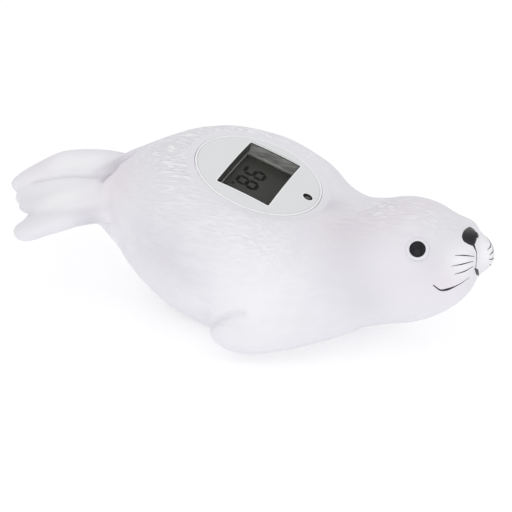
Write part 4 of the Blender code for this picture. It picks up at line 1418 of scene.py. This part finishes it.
    def mark(self) -> None:
        """Keeps at each point how pink, furry and mottled the skin is, and how much painted light
        and painted shade it gets.
        """
        points = Sculpt(self.made).points
        shaded = sum(shade.over(points, self.surface) for shade in self.painted_shades)
        furry = sum(patch.over(points) for patch in self.furs)
        furry = furry + sum(spot.over(points, self.surface) for spot in self.seen_furs)
        tinted = sum(patch.over(points) for patch in self.tints)
        tinted = tinted + sum(spot.over(points, self.surface) for spot in self.seen_tints)
        marks = {
            "tint": tinted,
            "fur": self.least_fur + furry,
            "mottle": sum(patch.over(points) for patch in self.mottles),
            "painted_light": sum(spot.over(points, self.surface) for spot in self.painted_lights),
            # painted shade from the creases and the shade spots
            "fold_and_painted_shade": self.fold_shading * self.fold_shading + shaded,
        }
        for name, values in marks.items():
            kept = self.made.data.attributes.new(name, "FLOAT", "POINT")
            kept.data.foreach_set("value", np.clip(values, 0.0, 1.0).astype(np.float32))


# The face


@dataclass(frozen=True)
class Stroke:
    """A painted line through pixels of the photograph, with its widths."""

    name: str
    pixels: tuple[Pixel, ...]
    widths: tuple[float, ...]


@dataclass
class Face:
    """The eyes, the nose, and the painted lines of the face."""

    surface: Surface
    eye_radius: float = 2.48
    eye_dome: float = 0.9
    eye_foot: float = -0.95
    far_eye_sink: float = 0.35
    lid_width: float = 0.62
    eye_shift: Triple = (-0.15, 0.0, 0.28)
    lid_rise: float = 0.09
    nose_turn: float = -14.0
    nose_middle: Pixel = (471.6, 235.6)
    nose_outline: tuple[Pixel, ...] = (
        (462.0, 237.5),
        (463.2, 231.9),
        (466.7, 228.2),
        (471.7, 226.5),
        (477.2, 226.9),
        (480.6, 229.4),
        (481.4, 232.4),
        (480.0, 235.4),
        (476.5, 238.4),
        (475.6, 241.8),
        (474.3, 245.0),
        (472.6, 246.0),
        (469.9, 244.8),
        (466.5, 243.2),
        (463.4, 240.9),
    )
    nose_crown: float = 0.55
    nose_sink: float = 0.4
    line_lift: float = 0.03
    line_crown: float = 0.07
    line_thickness: float = 0.12
    line_points: int = 26
    far_mouth_points: int = 17
    whisker_step: float = 0.38
    whisker_turn: float = 0.12
    muzzle_middle: Triple = (76.0, -3.4, 0.0)
    strokes: tuple[Stroke, ...] = (
        Stroke(
            "philtrum",
            (
                (473.4, 244.5),
                (474.9, 248.0),
                (476.4, 252.1),
                (476.6, 258.0),
                (475.9, 265.0),
                (475.2, 270.5),
            ),
            (0.9, 0.46, 0.42, 0.36, 0.36, 0.55),
        ),
        Stroke("chin_mark", ((474.6, 268.6), (477.0, 271.8), (478.7, 275.6)), (0.5, 1.7, 0.2)),
        Stroke(
            "mouth_line",
            (
                (433.2, 284.9),
                (437.0, 288.0),
                (441.0, 290.2),
                (449.0, 288.9),
                (460.8, 283.4),
                (469.2, 277.3),
            ),
            (0.30, 0.50, 1.0, 0.50, 0.34, 0.08),
        ),
        Stroke("whisker_top", ((454.9, 255.5), (464.0, 255.4), (474.3, 256.5)), (0.12, 0.36, 0.16)),
        Stroke(
            "whisker_middle",
            ((451.6, 266.2), (462.0, 264.2), (473.0, 261.3)),
            (0.08, 0.36, 0.16),
        ),
        Stroke("whisker_low", ((454.9, 274.2), (464.5, 271.3), (473.0, 266.6)), (0.12, 0.34, 0.14)),
    )
    far_widths: tuple[float, ...] = (0.14, 0.4, 0.4, 0.10)
    far_whiskers: tuple[tuple[str, tuple[Pixel, Pixel], Triple], ...] = (
        ("whisker_top_far", ((487.5, 250.0), (490.2, 247.0)), (-0.6, 0.5, 0.55)),
        ("whisker_middle_far", ((489.6, 255.0), (492.0, 252.9)), (-0.75, 0.5, 0.2)),
        ("whisker_low_far", ((488.8, 259.3), (491.6, 259.2)), (-0.8, 0.5, -0.15)),
    )

    def build(self) -> None:
        """Makes every piece of the face."""
        self.build_eyes()
        self.build_nose()
        for stroke in self.strokes:
            path = self.surface.path(stroke.pixels, self.line_points)
            self.build_line(stroke.name, path, stroke.widths)
            if stroke.name == "mouth_line":
                far = self.other_cheek(path[: self.far_mouth_points])
                self.build_line("mouth_line_far", far, stroke.widths)
        for name, pixels, aim in self.far_whiskers:
            path = self.carried_on(self.surface.path(pixels, 6), Vector(aim))
            self.build_line(name, path, self.far_widths)

    def carried_on(self, path: Sequence[Vector], aim: Vector, steps: int = 15) -> list[Vector]:
        """A whisker of the far cheek, carried on out of the camera's sight.

        Args:
            path: The part of it that the camera sees.
            aim: Where its hidden part turns to.
            steps: Number of points to add.

        Returns:
            The points of the whole whisker.
        """
        line = list(path)
        heading = (line[-1] - line[0]).normalized()
        for _ in range(steps):
            found, out = self.surface.nearest(line[-1] + heading * self.whisker_step * MM)
            heading = (found - line[-1]).normalized() * (1.0 - self.whisker_turn)
            heading += aim.normalized() * self.whisker_turn
            heading = (heading - out * heading.dot(out)).normalized()
            line.append(found)
        return line

    def other_cheek(self, path: Sequence[Vector]) -> list[Vector]:
        """A path of the near cheek, carried over the muzzle's middle.

        Args:
            path: Points of the path.

        Returns:
            The points on the far cheek.
        """
        centre = Vector(self.muzzle_middle) * MM
        turn = Matrix.Rotation(math.radians(self.nose_turn), 3, "Z")
        forward = turn @ Vector((1.0, 0.0, 0.0))
        aside = Vector((-forward.y, forward.x, 0.0))
        return [point - aside * (2.0 * (point - centre).dot(aside)) for point in path]

    def build_eyes(self) -> None:
        """Two gloss domes, each in a soft ring of skin."""
        sphere = (self.eye_radius**2 + self.eye_dome**2) / (2 * self.eye_dome)
        half = math.degrees(math.asin(self.eye_radius / sphere))
        dome = arc((0.0, self.eye_dome - sphere), sphere, 90.0, 90.0 - half, 14)
        wall = [(self.eye_radius, -0.3), (self.eye_radius, self.eye_foot)]
        profile = [*dome, *wall, (0.0, self.eye_foot)]
        inner = self.eye_radius + 0.02
        outer = inner + self.lid_width
        lid = [(inner, -0.8), (inner, 0.02)]
        lid += arc((inner + self.lid_width / 2, 0.0), self.lid_width / 2, 170.0, 10.0, 7)
        flatter = self.lid_rise / (self.lid_width / 2)
        lid = [(r, z * flatter if z > 0 else z) for r, z in lid]
        lid += [(outer + 0.3, -0.25), (outer + 0.2, -0.8)]
        for side in Side:
            name = side.name.lower()
            node = f"eye_{name}"
            middle, axis = turned_axis(node)
            if axis.y * side.value < 0:
                axis.negate()
            sink = self.far_eye_sink if side is Side.LEFT else 0.0
            turn = axis.to_track_quat("Z", "Y").to_matrix().to_4x4()
            place = self.eye_base(node, middle, axis)
            place = place - axis * sink * MM + Vector(self.eye_shift) * MM
            matrix = Matrix.Translation(place) @ turn @ Matrix.Scale(MM, 4)
            bm = spun(profile, 64)
            bm.transform(matrix)
            piece(f"eye_dome_{name}", bm, EYE_BLACK, [node])
            bm = spun(lid, 64, closed=True)
            bm.transform(matrix)
            piece(f"eye_lid_{name}", bm, VinylFinish("lid_vinyl"))

    def eye_base(self, node: str, middle: Vector, axis: Vector) -> Vector:
        """The middle of the circle where an eye's dome begins.

        Args:
            node: Name of the eye's CAD node.
            middle: Middle of the node's points.
            axis: Its outward axis.

        Returns:
            The middle of the circle.
        """
        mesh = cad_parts[node].data
        reach = [vertex.co.dot(axis) for vertex in mesh.vertices]
        top = max(reach) - self.eye_dome * MM
        return middle + axis * (top - middle.dot(axis))

    def build_nose(self) -> None:
        """The nose: broad on top, narrow below, raised a little from the skin."""
        bm = bmesh.new()
        bmesh.ops.create_uvsphere(bm, u_segments=64, v_segments=40, radius=1.0)
        middle = Vector(self.nose_middle)
        corners = [Vector(pixel) - middle for pixel in self.nose_outline]
        angles = [math.atan2(corner.y, corner.x) for corner in corners]
        order = np.argsort(angles)
        turns = np.array(angles)[order]
        spans = np.array([corner.length for corner in corners])[order]
        centre = self.surface.seen_at(self.nose_middle)
        for vert in bm.verts:
            turn = math.atan2(vert.co.y, vert.co.x)
            reach = float(np.interp(turn, turns, spans, period=math.tau))
            pixel = middle + Vector((vert.co.x, vert.co.y)) * reach
            place, out = self.surface.near_seen(tuple(pixel), centre)
            rise = self.nose_crown if vert.co.z > 0 else self.nose_sink
            vert.co = place + out * (vert.co.z * rise * MM)
        bmesh.ops.recalc_face_normals(bm, faces=bm.faces)
        bmesh.ops.smooth_vert(
            bm, verts=bm.verts, factor=0.5, use_axis_x=True, use_axis_y=True, use_axis_z=True
        )
        piece("nose_button", bm, NOSE_BLACK, sharp_above=80.0)

    def build_line(self, name: str, path: Sequence[Vector], widths: Sequence[float]) -> None:
        """A painted line that lies on the skin.

        Args:
            name: Name of the piece.
            path: Points of its middle, near the skin.
            widths: Full widths in millimetres, evenly spaced from end to end.
        """
        count = len(path)
        bm = bmesh.new()
        bmesh.ops.create_grid(bm, x_segments=count - 1, y_segments=4, size=1.0)
        spread = np.interp(np.linspace(0, 1, count), np.linspace(0, 1, len(widths)), widths)
        on_skin = [self.surface.nearest(point) for point in path]
        for vert in bm.verts:
            index = round((vert.co.x + 1.0) / 2 * (count - 1))
            across = vert.co.y
            place, normal = on_skin[index]
            before = on_skin[max(index - 1, 0)][0]
            after = on_skin[min(index + 1, count - 1)][0]
            aside = normal.cross(after - before).normalized()
            reach = across * spread[index] / 2 * MM
            found, out = self.surface.nearest(place + aside * reach)
            lift = self.line_lift + self.line_crown * (1.0 - across * across)
            vert.co = found + out * lift * MM
        bmesh.ops.recalc_face_normals(bm, faces=bm.faces)
        middle = bm.faces[:][len(bm.faces) // 2]
        _, out = self.surface.nearest(middle.calc_center_median())
        if middle.normal.dot(out) < 0:
            bmesh.ops.reverse_faces(bm, faces=bm.faces)
        bm.normal_update()
        bmesh.ops.solidify(bm, geom=bm.faces, thickness=self.line_thickness * MM)
        piece(name, bm, LINE_BLACK)


# The module


@dataclass
class RoundCover:
    """The domed cover with its neck, window shaft, rim and lip of skin."""

    skin: Surface
    radius: float = 21.0
    lip_top: float = -1.50
    lip_reach: float = 23.9
    dome: float = 150.0
    thickness: float = 2.0
    edge_foot: float = -2.977
    bead_width: float = 0.62
    neck_radius: float = 19.9
    neck_wall: float = 0.9
    neck_end: float = -5.777
    window: Flat = (18.2, 29.4)
    window_corner: float = 0.5
    liner: float = 0.26
    wall: float = 1.2
    panel_depth: float = 4.9
    lamp_reach: float = 17.2
    lamp_hole: float = 1.65
    facets: int = 144
    rim_section: tuple[Flat, ...] = (
        (0.34, -0.25),
        (0.34, 0.02),
        (0.26, 0.08),
        (0.06, 0.08),
        (-0.03, 0.03),
        (-0.03, -0.06),
    )
    bead_flatness: float = 0.8
    shaft_end: float = 2.2
    lip_shares: tuple[float, ...] = (0.15, 0.3, 0.45, 0.6, 0.75, 0.9, 1.0)
    lip_curve: float = 1.6
    skin_search: float = 8.0

    def depth(self, radius: float, thickness: float = 0.0) -> float:
        """Depth of the dome below its top, at a distance from its middle."""
        return self.dome - math.sqrt((self.dome - thickness) ** 2 - radius**2)

    def build(self) -> None:
        """Makes the cover and what edges it."""
        self.build_cover()
        self.build_shaft()
        self.build_window_rim()
        self.build_bead()
        self.build_lip()

    def profile(self) -> list[Flat]:
        """Half section of the cover, from the middle of its top and round."""
        inner = self.radius - self.bead_width - 0.25
        top = [(inner * i / 20, -self.depth(inner * i / 20)) for i in range(21)]
        sunk = -self.depth(inner) - 0.16
        top += [(inner + 0.08, sunk), (inner + 0.2, sunk)]
        edge = -self.depth(self.radius) - 0.28
        rounding = [(inner + 0.3, edge), *arc((self.radius - 0.2, edge - 0.2), 0.2, 88.0, 0.0, 5)]
        bore = self.neck_radius - self.neck_wall
        reaches = [bore * i / 8 for i in range(8, -1, -1)]
        under = [(reach, -self.depth(reach, self.thickness)) for reach in reaches]
        foot = [(self.radius, self.edge_foot), (self.neck_radius, self.edge_foot)]
        neck = [(self.neck_radius, self.neck_end), (bore, self.neck_end)]
        return [*top, *rounding, *foot, *neck, *under]

    def window_tool(self, top: float = 1.0, foot: float = -7.0) -> bpy.types.Object:
        """A block with rounded uprights that cuts the window.

        Args:
            top: Height of its top.
            foot: Height of its foot.

        Returns:
            The new object, which the cut removes.
        """
        bm = bmesh.new()
        matrix = Matrix.Translation((0.0, 0.0, (top + foot) / 2))
        matrix = matrix @ Matrix.Diagonal((*self.window, top - foot, 1.0))
        bmesh.ops.create_cube(bm, size=1.0, matrix=matrix)
        uprights = [e for e in bm.edges if abs(e.verts[0].co.z - e.verts[1].co.z) > 0.1]
        bmesh.ops.bevel(
            bm,
            geom=uprights,
            offset=self.window_corner,
            offset_type="OFFSET",
            affect="EDGES",
            segments=5,
            profile=0.5,
            material=-1,
        )
        bm.transform(MODULE.matrix)
        return plain("window_tool", bm)

    def lamp_tool(self) -> bpy.types.Object:
        """A rod that cuts the lamp's hole."""
        bm = bmesh.new()
        bmesh.ops.create_cone(
            bm,
            cap_ends=True,
            segments=48,
            radius1=self.lamp_hole,
            radius2=self.lamp_hole,
            depth=8.0,
            matrix=Matrix.Translation((self.lamp_reach, 0.0, -2.0)),
        )
        bm.transform(MODULE.matrix)
        return plain("lamp_tool", bm)

    def build_cover(self) -> None:
        """The dome and neck, cut for the window and the lamp."""
        bm = spun(self.profile(), self.facets)
        bm.transform(MODULE.matrix)
        cover = plain("round_cover", bm)
        cut(cover, self.window_tool(), self.lamp_tool())
        dressed(cover, WHITE_ABS, ["top_cover"], 30.0)

    def frame_loops(self, sections: Sequence[Section]) -> list[list[Vector]]:
        """Loops round the window for a frame.

        Args:
            sections: For each loop, how far it lies outside the window's
                edge, its height, and whether the height follows the dome.

        Returns:
            The loops, in the module's millimetres.
        """
        loops = []
        for out, height, follows in sections:
            size = (self.window[0] + 2 * out, self.window[1] + 2 * out)
            outline = divided(rounded_outline(*size, max(0.15, self.window_corner + out)), 1.6)
            sunk = [self.depth(math.hypot(x, y)) if follows else 0.0 for x, y in outline]
            loops.append([Vector((x, y, height - z)) for (x, y), z in zip(outline, sunk)])
        return loops

    def build_shaft(self) -> None:
        """The walls under the window, with a dark grey liner down to the panel as painted shade in
        the well.
        """
        foot = -self.panel_depth - self.shaft_end
        inside = [(self.wall, -1.0, True), (0.0, -1.0, True)]
        outside = [(0.0, foot, False), (self.wall, foot, False)]
        self.frame_piece("window_shaft", [*inside, *outside], WHITE_ABS)
        inner = -self.liner
        foot = -self.panel_depth + 0.05
        top = [(-0.01, -0.05, True), (inner, -0.10, True)]
        low = [(inner, foot, False), (-0.01, foot, False)]
        self.frame_piece("window_shade_liner", [*top, *low], SHADE_LINER)
        self.build_far_wall(foot)
        edge = inner - 0.24
        wall = [(inner, foot, False), (inner, foot + 0.26, False)]
        slope = [(edge, foot + 0.22, False), (edge, foot, False)]
        self.frame_piece("panel_edge_line", [*wall, *slope], LINER_LINE)

    def build_far_wall(self, foot: float) -> None:
        """The lighter plate against the liner's far wall, painted lighter as light falling on that
        wall, and the line at its foot.

        Args:
            foot: Height of the liner's foot.
        """
        half = self.window[0] / 2 - self.liner - 0.02
        wall = self.window[1] / 2 - self.liner - 0.01
        bm = bmesh.new()
        bmesh.ops.create_grid(bm, x_segments=12, y_segments=4, size=1.0)
        for vert in bm.verts:
            x = vert.co.x * half
            top = -0.30 - self.depth(math.hypot(x, wall))
            vert.co = (x, wall, foot + (top - foot) * (vert.co.y + 1.0) / 2)
        bm.normal_update()
        bmesh.ops.solidify(bm, geom=bm.faces, thickness=0.06)
        bmesh.ops.recalc_face_normals(bm, faces=bm.faces)
        bm.transform(MODULE.matrix)
        piece("window_far_wall_lit", bm, LIT_LINER_WALL)
        bm = bmesh.new()
        matrix = Matrix.Translation((0.0, wall - 0.32, foot + 0.2))
        matrix = matrix @ Matrix.Diagonal((2 * half, 0.5, 0.5, 1.0))
        bmesh.ops.create_cube(bm, size=1.0, matrix=matrix)
        bm.transform(MODULE.matrix)
        piece("panel_far_line", bm, LINER_LINE)

    def frame_piece(
        self, name: str, sections: Sequence[Section], finish: Finish
    ) -> None:
        """A closed frame round the window, from its sections.

        Args:
            name: Name of the piece.
            sections: Its sections, as frame_loops takes them.
            finish: Its finish.
        """
        bm = bridged(self.frame_loops(sections))
        bm.transform(MODULE.matrix)
        piece(name, bm, finish)

    def build_window_rim(self) -> None:
        """The edge round the window, in a lighter white as painted highlight."""
        sections = [(out, height, True) for out, height in self.rim_section]
        self.frame_piece("window_rim", sections, EDGE_HIGHLIGHT)

    def build_bead(self) -> None:
        """The bead that runs round the cover's edge, in a lighter white as painted highlight."""
        middle = self.radius - self.bead_width / 2 + 0.02
        level = -self.depth(middle) - 0.12
        half = self.bead_width / 2
        profile = arc((middle, level), half, 180.0, 0.0, 10)
        profile = [(r, level + (z - level) * self.bead_flatness) for r, z in profile]
        profile += [(middle + half, level - 0.4), (middle - half, level - 0.4)]
        bm = spun(profile, self.facets, closed=True)
        bm.transform(MODULE.matrix)
        piece("cover_bead", bm, EDGE_HIGHLIGHT)

    def build_lip(self) -> None:
        """The lip of skin that grips the cover and runs out into the body."""
        inner = self.radius + 0.15
        start = inner + 0.22
        loops: list[list[Vector]] = []
        for step in range(self.facets):
            turn = math.tau * step / self.facets
            foot = self.skin_level(turn)
            section = [(inner, -3.3), (inner, -1.66), (inner + 0.06, -1.54)]
            section.append((start, self.lip_top))
            for share in self.lip_shares:
                level = self.lip_top + (foot - self.lip_top) * share**self.lip_curve
                section.append((start + (self.lip_reach - start) * share, level))
            section += [(self.lip_reach + 0.3, foot - 0.5), (self.lip_reach, foot - 1.2)]
            loops.append([Vector((r * math.cos(turn), r * math.sin(turn), z)) for r, z in section])
        bm = bridged([list(row) for row in zip(*loops)])
        bm.transform(MODULE.matrix)
        piece("cover_lip", bm, VinylFinish("lip_vinyl"))

    def skin_level(self, turn: float) -> float:
        """Height of the skin at the lip's outer edge, in the module's frame.

        Args:
            turn: Angle round the module, in radians.

        Returns:
            The height, in millimetres.
        """
        x, y = math.cos(turn) * self.lip_reach, math.sin(turn) * self.lip_reach
        place = MODULE.matrix @ Vector((x, y, self.skin_search))
        down = (MODULE.matrix.to_3x3() @ Vector((0.0, 0.0, -1.0))).normalized()
        found, *_ = self.skin.tree.ray_cast(place, down)
        return (MODULE.matrix.inverted() @ found).z


@dataclass
class Display:
    """The pane, the digits on the panel and the alarm lamp."""

    cover: RoundCover
    pane_sink: float = 0.16
    pane_thickness: float = 0.9
    digit_size: Flat = (5.1, 7.8)
    stroke: float = 1.15
    centre: Flat = (-2.3, 1.5)
    pitch: float = 6.8
    lean: float = 0.08
    raised: float = 0.08
    gap: float = 0.20
    point_size: Triple = (0.8, 0.8, 0.1)
    point_level: float = -4.88
    lit: tuple[str, str] = ("abcdfg", "abcdefg")
    corners: ClassVar[dict[str, tuple[Flat, Flat]]] = {
        "a": ((0, 1), (1, 1)),
        "b": ((1, 1), (1, 0.5)),
        "c": ((1, 0.5), (1, 0)),
        "d": ((0, 0), (1, 0)),
        "e": ((0, 0.5), (0, 0)),
        "f": ((0, 1), (0, 0.5)),
        "g": ((0, 0.5), (1, 0.5)),
    }
    lamp_radius: float = 1.46
    lamp_sink: float = 0.85
    lamp_foot: float = -6.8
    lamp_flatness: float = 0.43
    sleeve_bore: float = 1.45
    sleeve_depth: float = 3.0

    def build(self) -> None:
        """Makes the pieces seen through the window and the lamp."""
        self.build_pane()
        self.build_digits()
        self.build_lamp()

    def build_pane(self) -> None:
        """A clear pane that follows the dome just below its surface."""
        cover = self.cover
        length, width = (size - 2 * cover.liner - 0.05 for size in cover.window)
        bm = bmesh.new()
        matrix = Matrix.Diagonal((length / 2, width / 2, 1.0, 1.0))
        bmesh.ops.create_grid(bm, x_segments=12, y_segments=18, size=1.0, matrix=matrix)
        for vert in bm.verts:
            vert.co.z = -self.pane_sink - cover.depth(math.hypot(vert.co.x, vert.co.y))
        bmesh.ops.solidify(bm, geom=bm.faces, thickness=-self.pane_thickness)
        bmesh.ops.recalc_face_normals(bm, faces=bm.faces)
        bm.transform(MODULE.matrix)
        piece("window_pane", bm, PANE, ["display_lens"])

    def bar(self, bm: bmesh.types.BMesh, start: Vector, end: Vector) -> None:
        """Adds one segment with pointed ends to the digits' mesh.

        Args:
            bm: The digits' mesh.
            start: One end, with up along Y.
            end: The other end.
        """
        along = (end - start).normalized()
        aside = Vector((-along.y, along.x)) * self.stroke / 2
        gap = along * self.gap
        tip = along * self.stroke / 2
        a, b = start + gap, end - gap
        outline = [a, a + tip + aside, b - tip + aside, b, b - tip - aside, a + tip - aside]
        low = -self.cover.panel_depth - 0.02
        face = bm.faces.new([bm.verts.new((p.y, -p.x, low)) for p in outline])
        made = bmesh.ops.extrude_face_region(bm, geom=[face])["geom"]
        upper = [part for part in made if isinstance(part, bmesh.types.BMVert)]
        bmesh.ops.translate(bm, verts=upper, vec=(0.0, 0.0, self.raised))

    def build_digits(self) -> None:
        """The two digits, upright when read from the tail, and their point."""
        wide, tall = (size - self.stroke for size in self.digit_size)
        bm = bmesh.new()
        for segments, across in zip(self.lit, (-0.5, 0.5)):
            middle = across * self.pitch - self.centre[1]
            for segment in segments:
                ends = []
                for u, v in self.corners[segment]:
                    height = (v - 0.5) * tall
                    aside = middle + (u - 0.5) * wide + height * self.lean
                    ends.append(Vector((aside, height + self.centre[0])))
                self.bar(bm, *ends)
        along, across = self.centre
        along += self.point_size[0] / 2 - self.digit_size[1] / 2
        place = (along, across - self.pitch - 0.2, self.point_level)
        point = Matrix.Translation(place) @ Matrix.Diagonal((*self.point_size, 1.0))
        bmesh.ops.create_cube(bm, size=1.0, matrix=point)
        bmesh.ops.recalc_face_normals(bm, faces=bm.faces)
        bm.transform(MODULE.matrix)
        piece("display_digits", bm, DIGIT_INK)

    def build_lamp(self) -> None:
        """The small domed alarm lamp, its dark sleeve and the hole's edge, in a lighter white as
        painted highlight.
        """
        reach, hole = self.cover.lamp_reach, self.cover.lamp_hole
        rim = hole + 0.02
        sunk = -self.cover.depth(reach)
        tilt = Matrix.Rotation(reach / self.cover.dome, 4, "Y")
        seat = MODULE.matrix @ Matrix.Translation((reach, 0.0, 0.0))
        lift = Matrix.Translation((0.0, 0.0, sunk))
        square = seat @ lift @ tilt @ Matrix.Translation((0.0, 0.0, -sunk))
        bore, foot = self.sleeve_bore, -self.sleeve_depth
        sleeve = [(bore, -0.25), (rim, -0.04), (rim, foot), (bore, foot)]
        edge = [(rim, -0.1), (rim, 0.03), (rim + 0.1, 0.07), (rim + 0.24, 0.03), (rim + 0.26, -0.1)]
        for name, profile, finish, slot in (
            ("lamp_sleeve", sleeve, LAMP_SLEEVE, Slot.LAMP),
            ("lamp_rim", edge, EDGE_HIGHLIGHT, Slot.ABS),
        ):
            bm = spun([(r, z + sunk) for r, z in profile], 48, closed=True)
            bm.transform(square)
            piece(name, bm, finish)
        low = sunk - self.lamp_sink
        dome = arc((0.0, low), self.lamp_radius, 90.0, 0.0, 10)
        dome = [(r, low + (z - low) * self.lamp_flatness) for r, z in dome]
        bm = spun([*dome, (self.lamp_radius, self.lamp_foot), (0.0, self.lamp_foot)], 40)
        bm.transform(seat)
        piece("lamp_dome", bm, LAMP_RESIN, ["alarm_led"])


# The studio


@dataclass(frozen=True)
class SoftLamp:
    """A large square lamp that faces the pup."""

    name: str
    place: Triple
    size: float
    power: float
    aim: Triple = (0.0, 0.0, 0.02)

    def build(self) -> None:
        """Makes the lamp."""
        data = bpy.data.lights.new(self.name, "AREA")
        data.shape = "SQUARE"
        data.size = self.size
        data.energy = self.power
        made = bpy.data.objects.new(self.name, data)
        bpy.context.scene.collection.objects.link(made)
        spot = Vector(self.place)
        turn = (Vector(self.aim) - spot).to_track_quat("-Z", "Y")
        made.matrix_world = Matrix.Translation(spot) @ turn.to_matrix().to_4x4()


@dataclass
class Studio:
    """A light floor that shows white, a white room and soft light from the camera's side; the floor
    also glows faintly, as painted light under the pup.
    """

    floor_size: float = 6.0
    floor_colour: Colour = (0.60, 0.60, 0.61)
    bounce_colour: Colour = (0.88, 0.88, 0.89)
    lift: float = 0.50
    floor_glow: float = 0.20
    fill: float = 0.75
    lamps: tuple[SoftLamp, ...] = (
        SoftLamp("top_light", (-0.2, -0.3, 1.05), 1.0, 1.0),
        SoftLamp("front_light", (0.25, -1.10, 0.38), 1.0, 2.6),
        SoftLamp("back_light", (0.0, 0.95, 0.70), 1.0, 1.0),
        SoftLamp("side_light", (1.05, -0.15, 0.45), 0.8, 0.5),
    )

    def build(self) -> None:
        """Makes the floor, the room's light and the lamps."""
        self.build_floor()
        self.build_room()
        for lamp in self.lamps:
            lamp.build()

    def build_floor(self) -> None:
        """A plain floor that shows white but keeps its shadow, and glows faintly as painted light
        on the pup from below.
        """
        bm = bmesh.new()
        bmesh.ops.create_grid(bm, x_segments=2, y_segments=2, size=self.floor_size)
        floor = plain("studio_floor", bm)
        shader = Shader("floor_white", self.bounce_colour, 0.9)
        shader.set("Specular IOR Level", 0.1)
        # painted light: the floor glows faintly for light rays, lifting the shade under the pup
        shader.set("Emission Color", (1.0, 1.0, 1.0, 1.0))
        shader.set("Emission Strength", self.floor_glow)
        shown = shader.add("BsdfDiffuse")
        shown.inputs["Color"].default_value = (*self.floor_colour, 1.0)
        glow = shader.add("Emission")
        glow.inputs["Strength"].default_value = self.lift
        both = shader.add("AddShader")
        shader.join(shown.outputs["BSDF"], both.inputs[0])
        shader.join(glow.outputs["Emission"], both.inputs[1])
        seen = shader.rays("Is Camera Ray", "Is Glossy Ray", "Is Transmission Ray")
        mix = shader.choice(seen, shader.surface.outputs["BSDF"], both.outputs["Shader"])
        shader.join(mix, shader.output.inputs["Surface"])
        floor.data.materials.append(shader.material)

    def build_room(self) -> None:
        """White all round, softer as a light than as a background."""
        world = bpy.data.worlds.new("white_room")
        world.use_nodes = True
        bpy.context.scene.world = world
        nodes = Nodes(world.node_tree)
        glows = []
        for strength in (self.fill, 1.0):
            made = nodes.add("Background")
            made.inputs["Color"].default_value = (1.0, 1.0, 1.0, 1.0)
            made.inputs["Strength"].default_value = strength
            glows.append(made.outputs["Background"])
        mix = nodes.choice(nodes.rays("Is Camera Ray", "Is Transmission Ray"), *glows)
        nodes.join(mix, nodes.add("OutputWorld").inputs["Surface"])


def dress_frame_nodes() -> None:
    """Gives every CAD node that still shows its own finish."""
    for finish, nodes in NODES_BY_FINISH:
        for node in nodes:
            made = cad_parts[node]
            if not made.material_slots:
                made.data.materials.append(finish.material())
            for slot in made.material_slots:
                slot.material = finish.material()
            LOG.info("%s: %s", node, finish.name)


def main() -> None:
    """Builds the dressed pup and its studio."""
    logging.basicConfig(level=logging.INFO, format="%(message)s")
    bpy.context.scene.view_settings.view_transform = "Standard"
    CAMERA.build()
    Studio().build()
    surface = SealSkin().build()
    Face(surface).build()
    cover = RoundCover(surface)
    cover.build()
    Display(cover).build()
    dress_frame_nodes()


if __name__ == "__main__":
    main()
